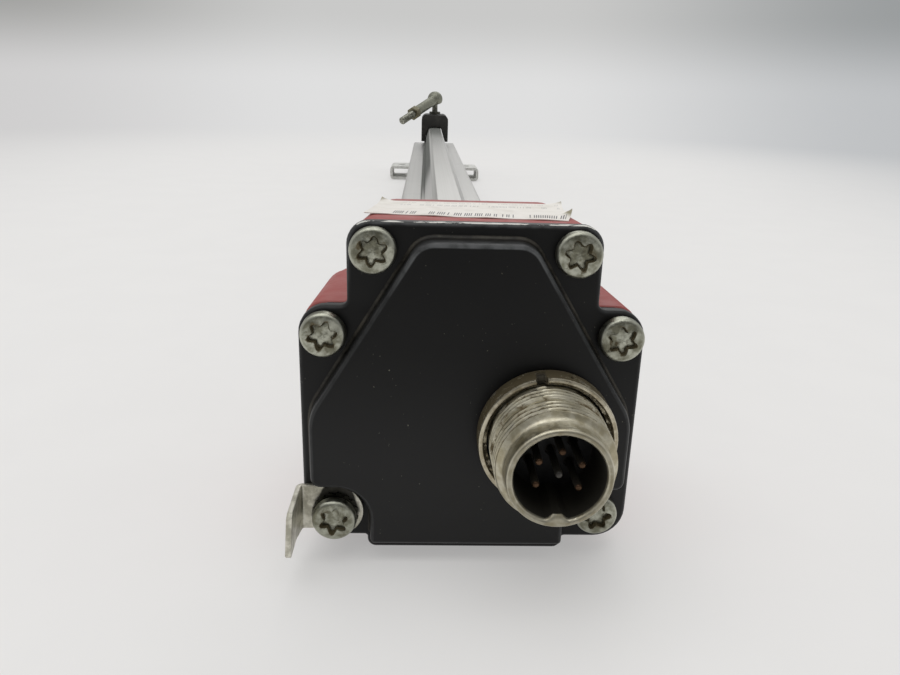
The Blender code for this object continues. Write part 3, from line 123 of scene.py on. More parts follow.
def table_top():
    """Matt paper with faint mottling of 25 mm and a soft shadow, fading into the plain backdrop.

    The distance is taken from the nearest point of the object's long axis, and the direction from the
    middle of its front.
    """
    made, tree, place = start_material("table_paper")
    nearest = add(tree, "VectorMath", {0: place, 1: (0.0, -0.1, 0.0)}, operation="MAXIMUM")
    nearest = add(tree, "VectorMath", {0: nearest, 1: (0.0, 0.55, 0.0)}, operation="MINIMUM")
    nearest = add(tree, "VectorMath", {0: nearest, 1: (0.0, 1.0, 0.0)}, operation="MULTIPLY")
    off_axis = add(tree, "VectorMath", {0: place, 1: nearest}, operation="SUBTRACT")
    far = add(tree, "MapRange", {
        "Value": add(tree, "VectorMath", {0: off_axis}, "Value", operation="LENGTH"),
        "From Min": 0.1, "From Max": 0.75,
    }, interpolation_type="SMOOTHSTEP")
    from_front = add(tree, "VectorMath", {0: place, 1: (0.0, -0.11, 0.0)}, operation="SUBTRACT")
    way = add(tree, "VectorMath", {0: from_front}, operation="NORMALIZE")
    mottle = add(tree, "MapRange", {
        "Value": add(tree, "TexNoise", {
            "Vector": place, "Scale": 40.0, "Detail": 4.0, "Roughness": 0.55,
        }),
        "From Min": 0.35, "From Max": 0.65,
    }, interpolation_type="SMOOTHSTEP")
    shade = add(tree, "Mix", {
        0: add(tree, "Math", {0: mottle, 1: 0.05}, operation="MULTIPLY"),
        6: colour("e8e7e5"), 7: colour("bdbdbd"),
    }, 2, data_type="RGBA")
    paper = add(tree, "BsdfPrincipled", {
        "Base Color": shade, "Roughness": 0.9, "Specular IOR Level": 0.1,
    })
    white = add(tree, "Emission", {"Color": colour("e7e6e5"), "Strength": 1.0})
    near = add(tree, "MixShader", {
        0: add(tree, "Math", {0: seen_rays(tree), 1: 0.45}, operation="MULTIPLY"),
        1: paper, 2: white,
    })
    plain = add(tree, "Emission", {"Color": backdrop(tree, way, *horizon), "Strength": 1.0})
    mixed = add(tree, "MixShader", {0: far, 1: near, 2: plain})
    tree.links.new(mixed, tree.nodes.new("ShaderNodeOutputMaterial").inputs["Surface"])
    return made


reach = 6.0
table_z = -0.0002
square = np.array([(-1, -1, 0), (1, -1, 0), (1, 1, 0), (-1, 1, 0)]) * reach + (0.0, 0.0, table_z)
ground = bpy.data.meshes.new("table")
ground.from_pydata(square.tolist(), [], [(0, 1, 2, 3)])
table = bpy.data.objects.new("table", ground)
table.data.materials.append(table_top())
bpy.context.scene.collection.objects.link(table)

# The room is seen as the plain backdrop, darker above the horizon. It lights matt surfaces with an even
# white that is weaker from the front, and a gloss shows a darker room there.
world = bpy.data.worlds.new("room")
bpy.context.scene.world = world
world.use_nodes = True
room = world.node_tree
room.nodes.clear()
way = add(room, "TexCoord", {}, "Generated")
low = backdrop(room, way, *horizon)
high = backdrop(room, way, "9f9f9d", "c9c9c8", "999c9d")
paper = add(room, "Mix", {
    0: add(room, "MapRange", {
        "Value": add(room, "SeparateXYZ", {0: way}, "Z"),
        "From Min": 0.0, "From Max": 0.09,
    }, interpolation_type="SMOOTHSTEP"),
    6: low, 7: high,
}, 2, data_type="RGBA")
from_front = add(room, "MapRange", {
    "Value": add(room, "SeparateXYZ", {0: way}, "Y"),
    "From Min": 0.1, "From Max": -0.8,
}, interpolation_type="SMOOTHSTEP")
dim = add(room, "LightPath", {}, "Is Glossy Ray")
paper = add(room, "Mix", {
    0: add(room, "Math", {
        0: add(room, "Math", {0: from_front, 1: dim}, operation="MULTIPLY"),
        1: 0.7,
    }, operation="MULTIPLY"),
    6: paper, 7: colour("404040"),
}, 2, data_type="RGBA")
soft = add(room, "Background", {
    "Color": (1.0, 1.0, 1.0, 1.0),
    "Strength": add(room, "MapRange", {
        "Value": from_front, "From Min": 0.0, "From Max": 1.0, "To Min": 0.78, "To Max": 0.3,
    }, interpolation_type="SMOOTHSTEP"),
})
pale = add(room, "Background", {"Color": paper, "Strength": 1.0})
lit = add(room, "MixShader", {0: seen_rays(room), 1: soft, 2: pale})
room.links.new(lit, room.nodes.new("ShaderNodeOutputWorld").inputs["Surface"])


def soft_lamp(name, place, target, size, power):
    """A square lamp at a place, turned to a target."""
    data = bpy.data.lights.new(name, "AREA")
    data.shape = "SQUARE"
    data.size = size
    data.energy = power
    lamp = bpy.data.objects.new(name, data)
    lamp.location = place
    lamp.rotation_euler = (Vector(target) - Vector(place)).to_track_quat("-Z", "Y").to_euler()
    bpy.context.scene.collection.objects.link(lamp)


soft_lamp("overhead", (-0.2, -0.05, 1.2), (0.0, 0.1, 0.0), 1.3, 6.2)
soft_lamp("rear_fill", (0.25, 1.3, 0.9), (0.0, 0.3, 0.02), 0.8, 2.4)

# The camera's place, turn and lens were fitted to the outlines of the head and the rail.
camera_place = (-0.007069, -0.112245, 0.067585)
camera_lens = 29.907
yaw, pitch, roll = 0.0389, 0.3214, 0.0293
level = Vector((math.sin(yaw), math.cos(yaw), 0.0))
across = Vector((math.cos(yaw), -math.sin(yaw), 0.0))
forward = level * math.cos(pitch) - Vector((0, 0, 1)) * math.sin(pitch)
over = Vector((0, 0, 1)) * math.cos(pitch) + level * math.sin(pitch)
right = across * math.cos(roll) + over * math.sin(roll)
upward = over * math.cos(roll) - across * math.sin(roll)
eye = bpy.data.cameras.new("camera")
eye.sensor_width = 36.0
eye.lens = camera_lens
eye.clip_start = 0.004
eye.clip_end = 40.0
camera = bpy.data.objects.new("camera", eye)
turned_to = Matrix((right, upward, -forward)).transposed().to_4x4()
camera.matrix_world = Matrix.Translation(camera_place) @ turned_to
bpy.context.scene.collection.objects.link(camera)
bpy.context.scene.camera = camera
bpy.context.scene.view_settings.view_transform = "Standard"


# Housing
# A short aluminium shell with six screw channels in its corners, enamelled red.
# It narrows a little towards the rear, where its corners are rounder.


def rounded_outline(corners, inset=0.0, steps=6):
    """The closed outline through rounded corners, as rows of x, z and radius, counter-clockwise.

    A corner moves inward along its bisector by the inset. A bulging corner's radius shrinks by it and a
    hollow one's grows. The arc's centre lies on the bisector at radius over the sine of the half angle,
    and its points are the first tangent point turned about that centre in equal steps.
    """
    corners = np.asarray(corners, float)
    points, radii = corners[:, :2], corners[:, 2:]
    ahead = np.roll(points, -1, axis=0) - points
    ahead /= np.linalg.norm(ahead, axis=1, keepdims=True)
    back = -np.roll(ahead, 1, axis=0)
    bulge = np.sign(ahead[:, :1] * back[:, 1:] - ahead[:, 1:] * back[:, :1])
    inward = np.stack([-ahead[:, 1], ahead[:, 0]], axis=1)
    before = np.roll(inward, 1, axis=0)
    points = points + inset * (inward + before) / (1 + (inward * before).sum(1, keepdims=True))
    radii = np.maximum(radii - bulge * inset, 0.02)
    half = 0.5 * np.arccos(np.clip((back * ahead).sum(1, keepdims=True), -1, 1))
    middle = back + ahead
    middle /= np.linalg.norm(middle, axis=1, keepdims=True)
    centre = points + middle * radii / np.sin(half)
    arm = points + back * radii / np.tan(half) - centre
    angle = bulge * (math.pi - 2 * half) * np.linspace(0, 1, steps + 1)
    x = centre[:, :1] + arm[:, :1] * np.cos(angle) - arm[:, 1:] * np.sin(angle)
    z = centre[:, 1:] + arm[:, :1] * np.sin(angle) + arm[:, 1:] * np.cos(angle)
    return np.stack([x.ravel(), z.ravel()], axis=1)


def both_sides(half):
    """A right half listed upward, followed by its mirror image listed downward."""
    return half + [(-x, z, r) for x, z, r in reversed(half)]


def rolled(low, high, radius, steps=4):
    """Places along a length and insets for an edge rolled to a quarter circle at both ends."""
    turn = np.linspace(0, math.pi / 2, steps + 1)
    rise, run = radius * (1 - np.sin(turn)), radius * (1 - np.cos(turn))
    return np.concatenate([low + rise[::-1], high - rise]), np.concatenate([run[::-1], run])


def carried(corners, along, insets, steps=6, last=None):
    """An outline in x and z carried along y: one loop at each place, drawn in by the inset there.

    Where last corners are given, the outline turns evenly into theirs on the way.
    """
    first = np.asarray(corners, float)
    change = np.zeros(first.shape) if last is None else np.asarray(last, float) - first
    share = (np.asarray(along) - along[0]) / (along[-1] - along[0])
    loops = [rounded_outline(first + change * part, inset, steps) for part, inset in zip(share, insets)]
    return np.stack([np.insert(loop, 1, y, axis=1) for loop, y in zip(loops, along)])


def by_loop(values, loops):
    """One value for each loop, given to all of its points."""
    return np.repeat(np.asarray(values, float)[:, None], loops.shape[1], axis=1)


def finished(name, loops, finish, body, stands_for=(), sharp=32.0, ring=False, marks=None):
    """Joins rows of points by quads into a closed skin, in millimetres, and hands it to its body.

    Loops is one array of loop, point and axis, or a list of them for shells in one piece. The last loop
    joins the first in a ring, and otherwise a face closes each end. Marks are arrays of loop and point.
    """
    shells = loops if isinstance(loops, list) else [loops]
    points, faces, start = [], [], 0
    for shell in shells:
        rows, count = shell.shape[:2]
        row = np.arange(rows if ring else rows - 1)[:, None]
        column = np.arange(count)[None, :]
        following, beside = (row + 1) % rows, (column + 1) % count
        here, there = row * count, following * count
        quads = np.stack([here + column, here + beside, there + beside, there + column], axis=-1)
        flat = shell.reshape(-1, 3)
        a, b, c, d = (flat[quads[..., k]].reshape(-1, 3) for k in range(4))
        volume = (a * np.cross(b, c)).sum() + (a * np.cross(c, d)).sum()
        if not ring:
            for end, way in ((0, -1), (rows - 1, 1)):
                loop, middle = shell[end], shell[end].mean(0)
                volume += way * (middle * np.cross(loop, np.roll(loop, -1, axis=0))).sum()
        quads = quads.reshape(-1, 4)
        ends = [] if ring else [np.arange(count)[::-1], (rows - 1) * count + np.arange(count)]
        if volume < 0:
            quads, ends = quads[:, ::-1], [end[::-1] for end in ends]
        faces += (quads + start).tolist() + [(end + start).tolist() for end in ends]
        points.append(flat)
        start += len(flat)
    mesh = bpy.data.meshes.new(name)
    mesh.from_pydata((np.concatenate(points) * 0.001).tolist(), [], faces)
    for mark, values in (marks or {}).items():
        kept = mesh.attributes.new(mark, "FLOAT", "POINT")
        kept.data.foreach_set("value", np.asarray(values, np.float32).ravel())
    mesh.shade_smooth()
    mesh.set_sharp_from_angle(angle=math.radians(sharp))
    mesh.materials.append(finish)
    piece = bpy.data.objects.new(name, mesh)
    bpy.context.scene.collection.objects.link(piece)
    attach(piece, body)
    if stands_for:
        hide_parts(*stands_for)


def enamel(name, base, dusty, rough, level, dust_share):
    """Stoved enamel: soft clouds of 11 mm in its colour, thin pale scuffs and specks of dust.

    Its orange peel is 1 mm across and 0.04 mm high, coarser than the real one, so that it shows.
    """
    made, tree, place = start_material(name)
    tone = add(tree, "Mix", {
        0: add(tree, "MapRange", {
            "Value": add(tree, "TexNoise", {
                "Vector": place, "Scale": 90.0, "Detail": 3.0, "Roughness": 0.55,
            }),
            "From Min": 0.3, "From Max": 0.7, "To Max": 0.35,
        }, interpolation_type="SMOOTHSTEP"),
        6: base, 7: dusty,
    }, 2, data_type="RGBA")
    specks = add(tree, "MapRange", {
        "Value": add(tree, "TexNoise", {
            "Vector": place, "Scale": 1900.0, "Detail": 2.0, "Roughness": 0.55,
        }),
        "From Min": 0.69, "From Max": 0.76,
    }, interpolation_type="SMOOTHSTEP")
    patches = add(tree, "MapRange", {
        "Value": add(tree, "TexNoise", {
            "Vector": place, "Scale": 160.0, "Detail": 4.0, "Roughness": 0.55,
        }),
        "From Min": 0.45, "From Max": 0.65,
    }, interpolation_type="SMOOTHSTEP")
    dust = add(tree, "Math", {
        0: add(tree, "Math", {0: specks, 1: patches}, operation="MULTIPLY"),
        1: dust_share,
    }, operation="MULTIPLY")
    streaks = add(tree, "TexNoise", {
        "Vector": add(tree, "Mapping", {"Vector": place, "Scale": (260.0, 1400.0, 1400.0)}),
        "Scale": 1.0, "Detail": 2.0, "Roughness": 0.55,
    })
    scuffs = add(tree, "Math", {
        0: add(tree, "MapRange", {
            "Value": streaks, "From Min": 0.66, "From Max": 0.74,
        }, interpolation_type="SMOOTHSTEP"),
        1: 0.25 * dust_share,
    }, operation="MULTIPLY")
    tone = add(tree, "Mix", {
        0: add(tree, "Math", {0: dust, 1: scuffs}, operation="MAXIMUM"),
        6: tone, 7: dusty,
    }, 2, data_type="RGBA")
    tone = add(tree, "Mix", {
        0: add(tree, "Math", {
            0: add(tree, "Attribute", {}, "Fac", attribute_name="pale_edge"),
            1: 0.55,
        }, operation="MULTIPLY"),
        6: tone, 7: dusty,
    }, 2, data_type="RGBA")
    peel = add(tree, "TexNoise", {"Vector": place, "Scale": 1100.0, "Detail": 2.0, "Roughness": 0.55})
    show(tree, {
        "Base Color": tone,
        "Roughness": add(tree, "MapRange", {
            "Value": add(tree, "TexNoise", {
                "Vector": place, "Scale": 300.0, "Detail": 3.0, "Roughness": 0.55,
            }),
            "From Min": 0.3, "From Max": 0.7, "To Min": rough - 0.06, "To Max": rough + 0.1,
        }, interpolation_type="SMOOTHSTEP"),
        "Specular IOR Level": level,
        "Normal": add(tree, "Bump", {"Height": peel, "Distance": 0.00004}),
    })
    return made


housing_edge = 0.45
housing_half = [
    (14.6, 0.0, 0.8), (14.6, 2.4, 0.5), (24.2, 2.4, 4.5),
    (24.2, 38.3, 3.0), (17.2, 38.3, 1.2), (17.2, 50.1, 2.8),
]
housing_rear = [
    (14.2, 0.0, 0.8), (14.2, 2.8, 0.5), (23.7, 2.8, 4.3),
    (23.7, 38.0, 4.0), (15.6, 38.0, 1.2), (15.6, 50.1, 4.0),
]
# Red stoving enamel, faded and dusty: an even dull red with pale rubbed edges.
red_enamel = enamel("red_enamel", colour("9b4945"), colour("a56762"), 0.5, 0.3, 0.5)
along, insets = rolled(-8.7, 12.5, housing_edge)
housing = carried(both_sides(housing_half), along, insets, 8, both_sides(housing_rear))
finished(
    "red_housing",
    housing,
    red_enamel,
    "head",
    ["electronics_housing"],
    marks={"pale_edge": by_loop(insets / housing_edge, housing)},
)


# Cover
# A pressure die casting in black enamel: a flange to the housing's outline with a raised panel.
# The panel's side rises from a small fillet. Its edges show bluish grey from wear and a painted
# highlight, which also lightens the panel's side and is strongest along the top.


def cover_enamel():
    """Black stoving enamel: near black with a low gloss, bluish grey at edges from wear and a painted
    highlight.

    Dust makes it greyer downward, lies brown along the panel's foot and sits on it in specks of 0.5 mm.
    Along the flange's top front edge it has flaked to the white filler in chips of 1 to 4 mm.
    """
    made, tree, place = start_material("black_enamel")
    tone = add(tree, "Mix", {
        0: add(tree, "MapRange", {
            "Value": add(tree, "TexNoise", {
                "Vector": place, "Scale": 30.0, "Detail": 3.0, "Roughness": 0.55,
            }),
            "From Min": 0.3, "From Max": 0.7,
        }, interpolation_type="SMOOTHSTEP"),
        6: colour("121212"), 7: colour("171716"),
    }, 2, data_type="RGBA")
    film = add(tree, "MapRange", {
        "Value": add(tree, "SeparateXYZ", {0: place}, "Z"),
        "From Min": 0.036, "From Max": 0.014, "To Max": 0.2,
    }, interpolation_type="SMOOTHSTEP")
    film = add(tree, "Math", {
        0: film,
        1: add(tree, "MapRange", {
            "Value": add(tree, "TexNoise", {
                "Vector": place, "Scale": 230.0, "Detail": 5.0, "Roughness": 0.65,
            }),
            "From Min": 0.3, "From Max": 0.8, "To Max": 0.012,
        }, interpolation_type="SMOOTHSTEP"),
    }, operation="MAXIMUM")
    tone = add(tree, "Mix", {0: film, 6: tone, 7: colour("484849")}, 2, data_type="RGBA")
    # Wear and a painted highlight on the edges, broken by noise. The painted highlight is strongest
    # along the top and weaker lower down.
    edge_wear_and_highlight = add(tree, "Math", {
        0: add(tree, "Attribute", {}, "Fac", attribute_name="pale_edge"),
        1: add(tree, "MapRange", {
            "Value": add(tree, "TexNoise", {
                "Vector": place, "Scale": 500.0, "Detail": 4.0, "Roughness": 0.55,
            }),
            "From Min": 0.3, "From Max": 0.6, "To Min": 0.3, "To Max": 0.8,
        }, interpolation_type="SMOOTHSTEP"),
    }, operation="MULTIPLY")
    edge_wear_and_highlight = add(tree, "Math", {
        0: edge_wear_and_highlight,
        1: add(tree, "MapRange", {
            "Value": add(tree, "SeparateXYZ", {0: place}, "Z"),
            "From Min": 0.04, "From Max": 0.0475, "To Min": 0.25,
        }, interpolation_type="SMOOTHSTEP"),
    }, operation="MULTIPLY")
    tone = add(tree, "Mix", {0: edge_wear_and_highlight, 6: tone, 7: colour("6e7071")}, 2, data_type="RGBA")
    settled = add(tree, "Math", {
        0: add(tree, "Attribute", {}, "Fac", attribute_name="dusty"),
        1: add(tree, "MapRange", {
            "Value": add(tree, "TexNoise", {
                "Vector": place, "Scale": 420.0, "Detail": 5.0, "Roughness": 0.7,
            }),
            "From Min": 0.35, "From Max": 0.65, "To Min": 0.2, "To Max": 0.7,
        }, interpolation_type="SMOOTHSTEP"),
    }, operation="MULTIPLY")
    tone = add(tree, "Mix", {0: settled, 6: tone, 7: colour("565249")}, 2, data_type="RGBA")
    specks = add(tree, "Math", {
        0: add(tree, "MapRange", {
            "Value": add(tree, "TexNoise", {
                "Vector": place, "Scale": 2300.0, "Detail": 2.0, "Roughness": 0.55,
            }),
            "From Min": 0.72, "From Max": 0.78,
        }, interpolation_type="SMOOTHSTEP"),
        1: add(tree, "MapRange", {
            "Value": add(tree, "TexNoise", {
                "Vector": place, "Scale": 120.0, "Detail": 3.0, "Roughness": 0.55,
            }),
            "From Min": 0.42, "From Max": 0.6,
        }, interpolation_type="SMOOTHSTEP"),
    }, operation="MULTIPLY")
    tone = add(tree, "Mix", {
        0: add(tree, "Math", {0: specks, 1: 0.6}, operation="MULTIPLY"),
        6: tone, 7: colour("8a8878"),
    }, 2, data_type="RGBA")
    top = add(tree, "Math", {
        0: add(tree, "MapRange", {
            "Value": add(tree, "SeparateXYZ", {0: place}, "Z"),
            "From Min": 0.0498, "From Max": 0.05,
        }, interpolation_type="SMOOTHSTEP"),
        1: add(tree, "Math", {
            0: add(tree, "MapRange", {
                "Value": add(tree, "SeparateXYZ", {0: place}, "Y"),
                "From Min": -0.0122, "From Max": -0.0121,
            }, interpolation_type="SMOOTHSTEP"),
            1: add(tree, "MapRange", {
                "Value": add(tree, "SeparateXYZ", {0: place}, "Y"),
                "From Min": -0.0115, "From Max": -0.0116,
            }, interpolation_type="SMOOTHSTEP"),
        }, operation="MULTIPLY"),
    }, operation="MULTIPLY")
    flaked = add(tree, "MapRange", {
        "Value": add(tree, "TexNoise", {
            "Vector": add(tree, "Mapping", {"Vector": place, "Scale": (240.0, 900.0, 900.0)}),
            "Scale": 1.0, "Detail": 6.0, "Roughness": 0.75,
        }),
        "From Min": 0.48, "From Max": 0.52,
    }, interpolation_type="SMOOTHSTEP")
    nicks = add(tree, "Math", {
        0: add(tree, "Attribute", {}, "Fac", attribute_name="pale_edge"),
        1: add(tree, "MapRange", {
            "Value": add(tree, "TexNoise", {
                "Vector": place, "Scale": 900.0, "Detail": 4.0, "Roughness": 0.7,
            }),
            "From Min": 0.7, "From Max": 0.74, "To Max": 0.6,
        }, interpolation_type="SMOOTHSTEP"),
    }, operation="MULTIPLY")
    chips = add(tree, "Math", {
        0: add(tree, "Math", {0: top, 1: flaked}, operation="MULTIPLY"),
        1: nicks,
    }, operation="MAXIMUM")
    tone = add(tree, "Mix", {0: chips, 6: tone, 7: colour("d0cfc8")}, 2, data_type="RGBA")
    peel = add(tree, "TexNoise", {"Vector": place, "Scale": 2600.0, "Detail": 2.0, "Roughness": 0.55})
    show(tree, {
        "Base Color": tone,
        "Roughness": add(tree, "MapRange", {
            "Value": add(tree, "TexNoise", {
                "Vector": place, "Scale": 60.0, "Detail": 3.0, "Roughness": 0.55,
            }),
            "From Min": 0.3, "From Max": 0.7, "To Min": 0.36, "To Max": 0.4,
        }, interpolation_type="SMOOTHSTEP"),
        "Specular IOR Level": 0.2,
        "Normal": add(tree, "Bump", {"Height": peel, "Distance": 0.000006}),
    })
    return made


head_half = [
    (15.0, 0.0, 1.3), (15.0, 2.1, 0.5), (24.5, 2.1, 4.7),
    (24.5, 38.6, 4.0), (17.6, 38.6, 1.0), (17.6, 50.5, 3.2),
]
plateau_half = [
    (14.7, 2.4, 1.0), (14.7, 11.7, 4.7), (23.3, 11.7, 1.8), (23.3, 23.5, 8.0), (7.8, 48.7, 4.0),
]
flange_front, flange_back, panel_front = -12.5, -10.1, -16.0
along, insets = rolled(flange_front, flange_back, 0.7, 5)
flange = carried(both_sides(head_half), along, insets, 8)
turn = np.linspace(0, math.pi / 2, 6)
foot_y, foot_inset = -12.45 - 0.9 * (1 - np.cos(turn)), 0.25 - 0.7 * (1 - np.sin(turn))
edge_y, edge_inset = panel_front + 0.8 * (1 - np.sin(turn)), 0.35 + 0.65 * (1 - np.cos(turn))
panel_y = np.concatenate([foot_y, edge_y])
panel_inset = np.concatenate([foot_inset, edge_inset])
panel = carried(both_sides(plateau_half), panel_y, panel_inset, 8)
# Both front edges are rubbed and carry a painted highlight, which on the panel also lightens its side,
# and dust lies where the panel's side meets the flange.
flange_wear_and_highlight = np.interp(along, [flange_front, -12.4, -11.8], [0, 0.5, 0])
panel_wear_and_highlight = np.interp(panel_y, [panel_front, -15.96, -15.84, -15.2, -13.4], [0, 1, 0.6, 0.4, 0])
panel_dusty = np.interp(panel_y, [-13.6, -13.0, -12.62, -12.5, -12.45], [0, 0.3, 1, 0.8, 0.2])
edge_wear_and_highlight = [by_loop(flange_wear_and_highlight, flange), by_loop(panel_wear_and_highlight, panel)]
dusty = [by_loop(0 * flange_wear_and_highlight, flange), by_loop(panel_dusty, panel)]
finished(
    "cover_casting",
    [flange, panel],
    cover_enamel(),
    "head",
    ["front_cover"],
    marks={
        "pale_edge": np.concatenate([shell.ravel() for shell in edge_wear_and_highlight]),
        "dusty": np.concatenate([shell.ravel() for shell in dusty]),
    },
)


# Gaskets
# Flat black rubber seals, cut from sheet and pressed on both sides of the housing by the long screws.
# The rear one follows the housing's narrower rear outline.


def moulded(name, base, bloom, rough, level, grain):
    """Rubber or plastic: a pale bloom in patches of 7 mm and in specks, and the mould's grain.

    The grain is given as grains in a metre, and is drawn about twice as coarse as it is, to show.
    """
    made, tree, place = start_material(name)
    patches = add(tree, "MapRange", {
        "Value": add(tree, "TexNoise", {
            "Vector": place, "Scale": 140.0, "Detail": 4.0, "Roughness": 0.55,
        }),
        "From Min": 0.42, "From Max": 0.7, "To Max": 0.5,
    }, interpolation_type="SMOOTHSTEP")
    tone = add(tree, "Mix", {0: patches, 6: base, 7: bloom}, 2, data_type="RGBA")
    specks = add(tree, "Math", {
        0: add(tree, "MapRange", {
            "Value": add(tree, "TexNoise", {
                "Vector": place, "Scale": 1500.0, "Detail": 2.0, "Roughness": 0.55,
            }),
            "From Min": 0.7, "From Max": 0.76,
        }, interpolation_type="SMOOTHSTEP"),
        1: 0.6,
    }, operation="MULTIPLY")
    tone = add(tree, "Mix", {0: specks, 6: tone, 7: bloom}, 2, data_type="RGBA")
    show(tree, {
        "Base Color": tone,
        "Roughness": add(tree, "MapRange", {
            "Value": add(tree, "TexNoise", {
                "Vector": place, "Scale": 400.0, "Detail": 3.0, "Roughness": 0.55,
            }),
            "From Min": 0.3, "From Max": 0.7, "To Min": rough - 0.07, "To Max": rough + 0.07,
        }, interpolation_type="SMOOTHSTEP"),
        "Specular IOR Level": level,
        "Normal": add(tree, "Bump", {
            "Height": add(tree, "TexNoise", {
                "Vector": place, "Scale": grain, "Detail": 3.0, "Roughness": 0.55,
            }),
            "Distance": 0.00005,
        }),
    })
    return made


def dress(finish, *names):
    """Gives the frame's own solids a finish."""
    for name in names:
        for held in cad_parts[name].material_slots:
            held.material = finish


# Black nitrile rubber: a matt dark grey with a chalky bloom.
black_rubber = moulded("black_rubber", colour("1d1d1d"), colour("3a3a38"), 0.8, 0.2, 1500.0)
dress(black_rubber, "front_gasket", "connector_seal")
rear_inset = 0.9
along, insets = rolled(12.6, 13.8, 0.2, 2)
finished(
    "rear_seal",
    carried(both_sides(housing_rear), along, insets + rear_inset, 8),
    black_rubber,
    "head",
    ["rear_gasket"],
)


# Cover screws
# Six zinc-plated pan-head screws with six-lobed recesses, each stopped at its own turn.
# Grease and rust have settled in the recesses and under the rims.


def metal(
    name, pale, deep, grime, rough, share, grain=(1.0, 1.0, 1.0), depth=0.00003, stain=None, bare=1.0
):
    """Bare or plated metal: clouds of 2 mm from deep to pale, pits of 0.7 mm, and grime in spots.

    A larger share gives more spots. Marks on the mesh fill a hollow with grime, rub an edge pale, in
    places as a painted highlight, or make it near black as painted shade and, on the ball, grease. The
    grain draws the pits out along an axis. Bare is how metallic the clean parts are.
    """
    made, tree, place = start_material(name)
    drawn = add(tree, "Mapping", {"Vector": place, "Scale": grain})
    tone = add(tree, "Mix", {
        0: add(tree, "MapRange", {
            "Value": add(tree, "TexNoise", {
                "Vector": place, "Scale": 480.0, "Detail": 5.0, "Roughness": 0.6,
            }),
            "From Min": 0.38, "From Max": 0.62,
        }, interpolation_type="SMOOTHSTEP"),
        6: deep, 7: pale,
    }, 2, data_type="RGBA")
    pits = add(tree, "TexNoise", {"Vector": drawn, "Scale": 1500.0, "Detail": 4.0, "Roughness": 0.65})
    tone = add(tree, "Mix", {
        0: add(tree, "MapRange", {
            "Value": pits, "From Min": 0.5, "From Max": 0.75, "To Max": 0.45,
        }, interpolation_type="SMOOTHSTEP"),
        6: tone, 7: deep,
    }, 2, data_type="RGBA")
    tone = add(tree, "Mix", {
        0: add(tree, "Math", {
            0: add(tree, "Attribute", {}, "Fac", attribute_name="pale_edge"),
            1: 0.8,
        }, operation="MULTIPLY"),
        6: tone, 7: pale,
    }, 2, data_type="RGBA")
    settled = add(tree, "Math", {
        0: add(tree, "Attribute", {}, "Fac", attribute_name="hollow"),
        1: share,
    }, operation="ADD")
    spotted = add(tree, "Math", {
        0: add(tree, "TexNoise", {"Vector": place, "Scale": 620.0, "Detail": 5.0, "Roughness": 0.7}),
        1: settled,
    }, operation="ADD")
    dirt = add(tree, "MapRange", {
        "Value": spotted, "From Min": 0.78, "From Max": 0.92,
    }, interpolation_type="SMOOTHSTEP")
    tone = add(tree, "Mix", {0: dirt, 6: tone, 7: grime}, 2, data_type="RGBA")
    # Near black: painted shade in the inlet's bore, the nut's notches and on the pins, and grease.
    black = add(tree, "Attribute", {}, "Fac", attribute_name="shade_and_grease")
    if stain is not None:
        black = add(tree, "Math", {0: black, 1: stain(tree, place)}, operation="MAXIMUM")
    tone = add(tree, "Mix", {0: black, 6: tone, 7: colour("211e15")}, 2, data_type="RGBA")
    dirt = add(tree, "Math", {0: dirt, 1: black}, operation="MAXIMUM")
    show(tree, {
        "Base Color": tone,
        "Metallic": add(tree, "MapRange", {
            "Value": dirt, "From Min": 0.0, "From Max": 1.0, "To Min": bare, "To Max": 0.1,
        }, interpolation_type="SMOOTHSTEP"),
        "Roughness": add(tree, "Math", {
            0: add(tree, "MapRange", {
                "Value": pits, "From Min": 0.3, "From Max": 0.7, "To Min": rough - 0.08,
                "To Max": rough + 0.12,
            }, interpolation_type="SMOOTHSTEP"),
            1: add(tree, "Math", {0: dirt, 1: 0.8}, operation="MULTIPLY"),
        }, operation="MAXIMUM"),
        "Normal": add(tree, "Bump", {"Height": pits, "Distance": depth}),
    })
    return made


def rings(radii, heights, angles):
    """Loops of a turned shape about its own z: at each height a ring of points at that radius.

    Radii and heights may change round the ring too, which gives lobes, threads and notches.
    """
    radii, heights = np.asarray(radii, float), np.asarray(heights, float)
    radii = radii.reshape(len(radii), -1) + 0 * angles
    heights = heights.reshape(len(heights), -1) + 0 * angles
    return np.stack([radii * np.cos(angles), radii * np.sin(angles), heights], axis=-1)


def facing_front(loops, x, y, z):
    """The shape's own z turned to the front, with its x to the right and its y up."""
    return np.stack([x + loops[..., 0], y - loops[..., 2], z + loops[..., 1]], axis=-1)


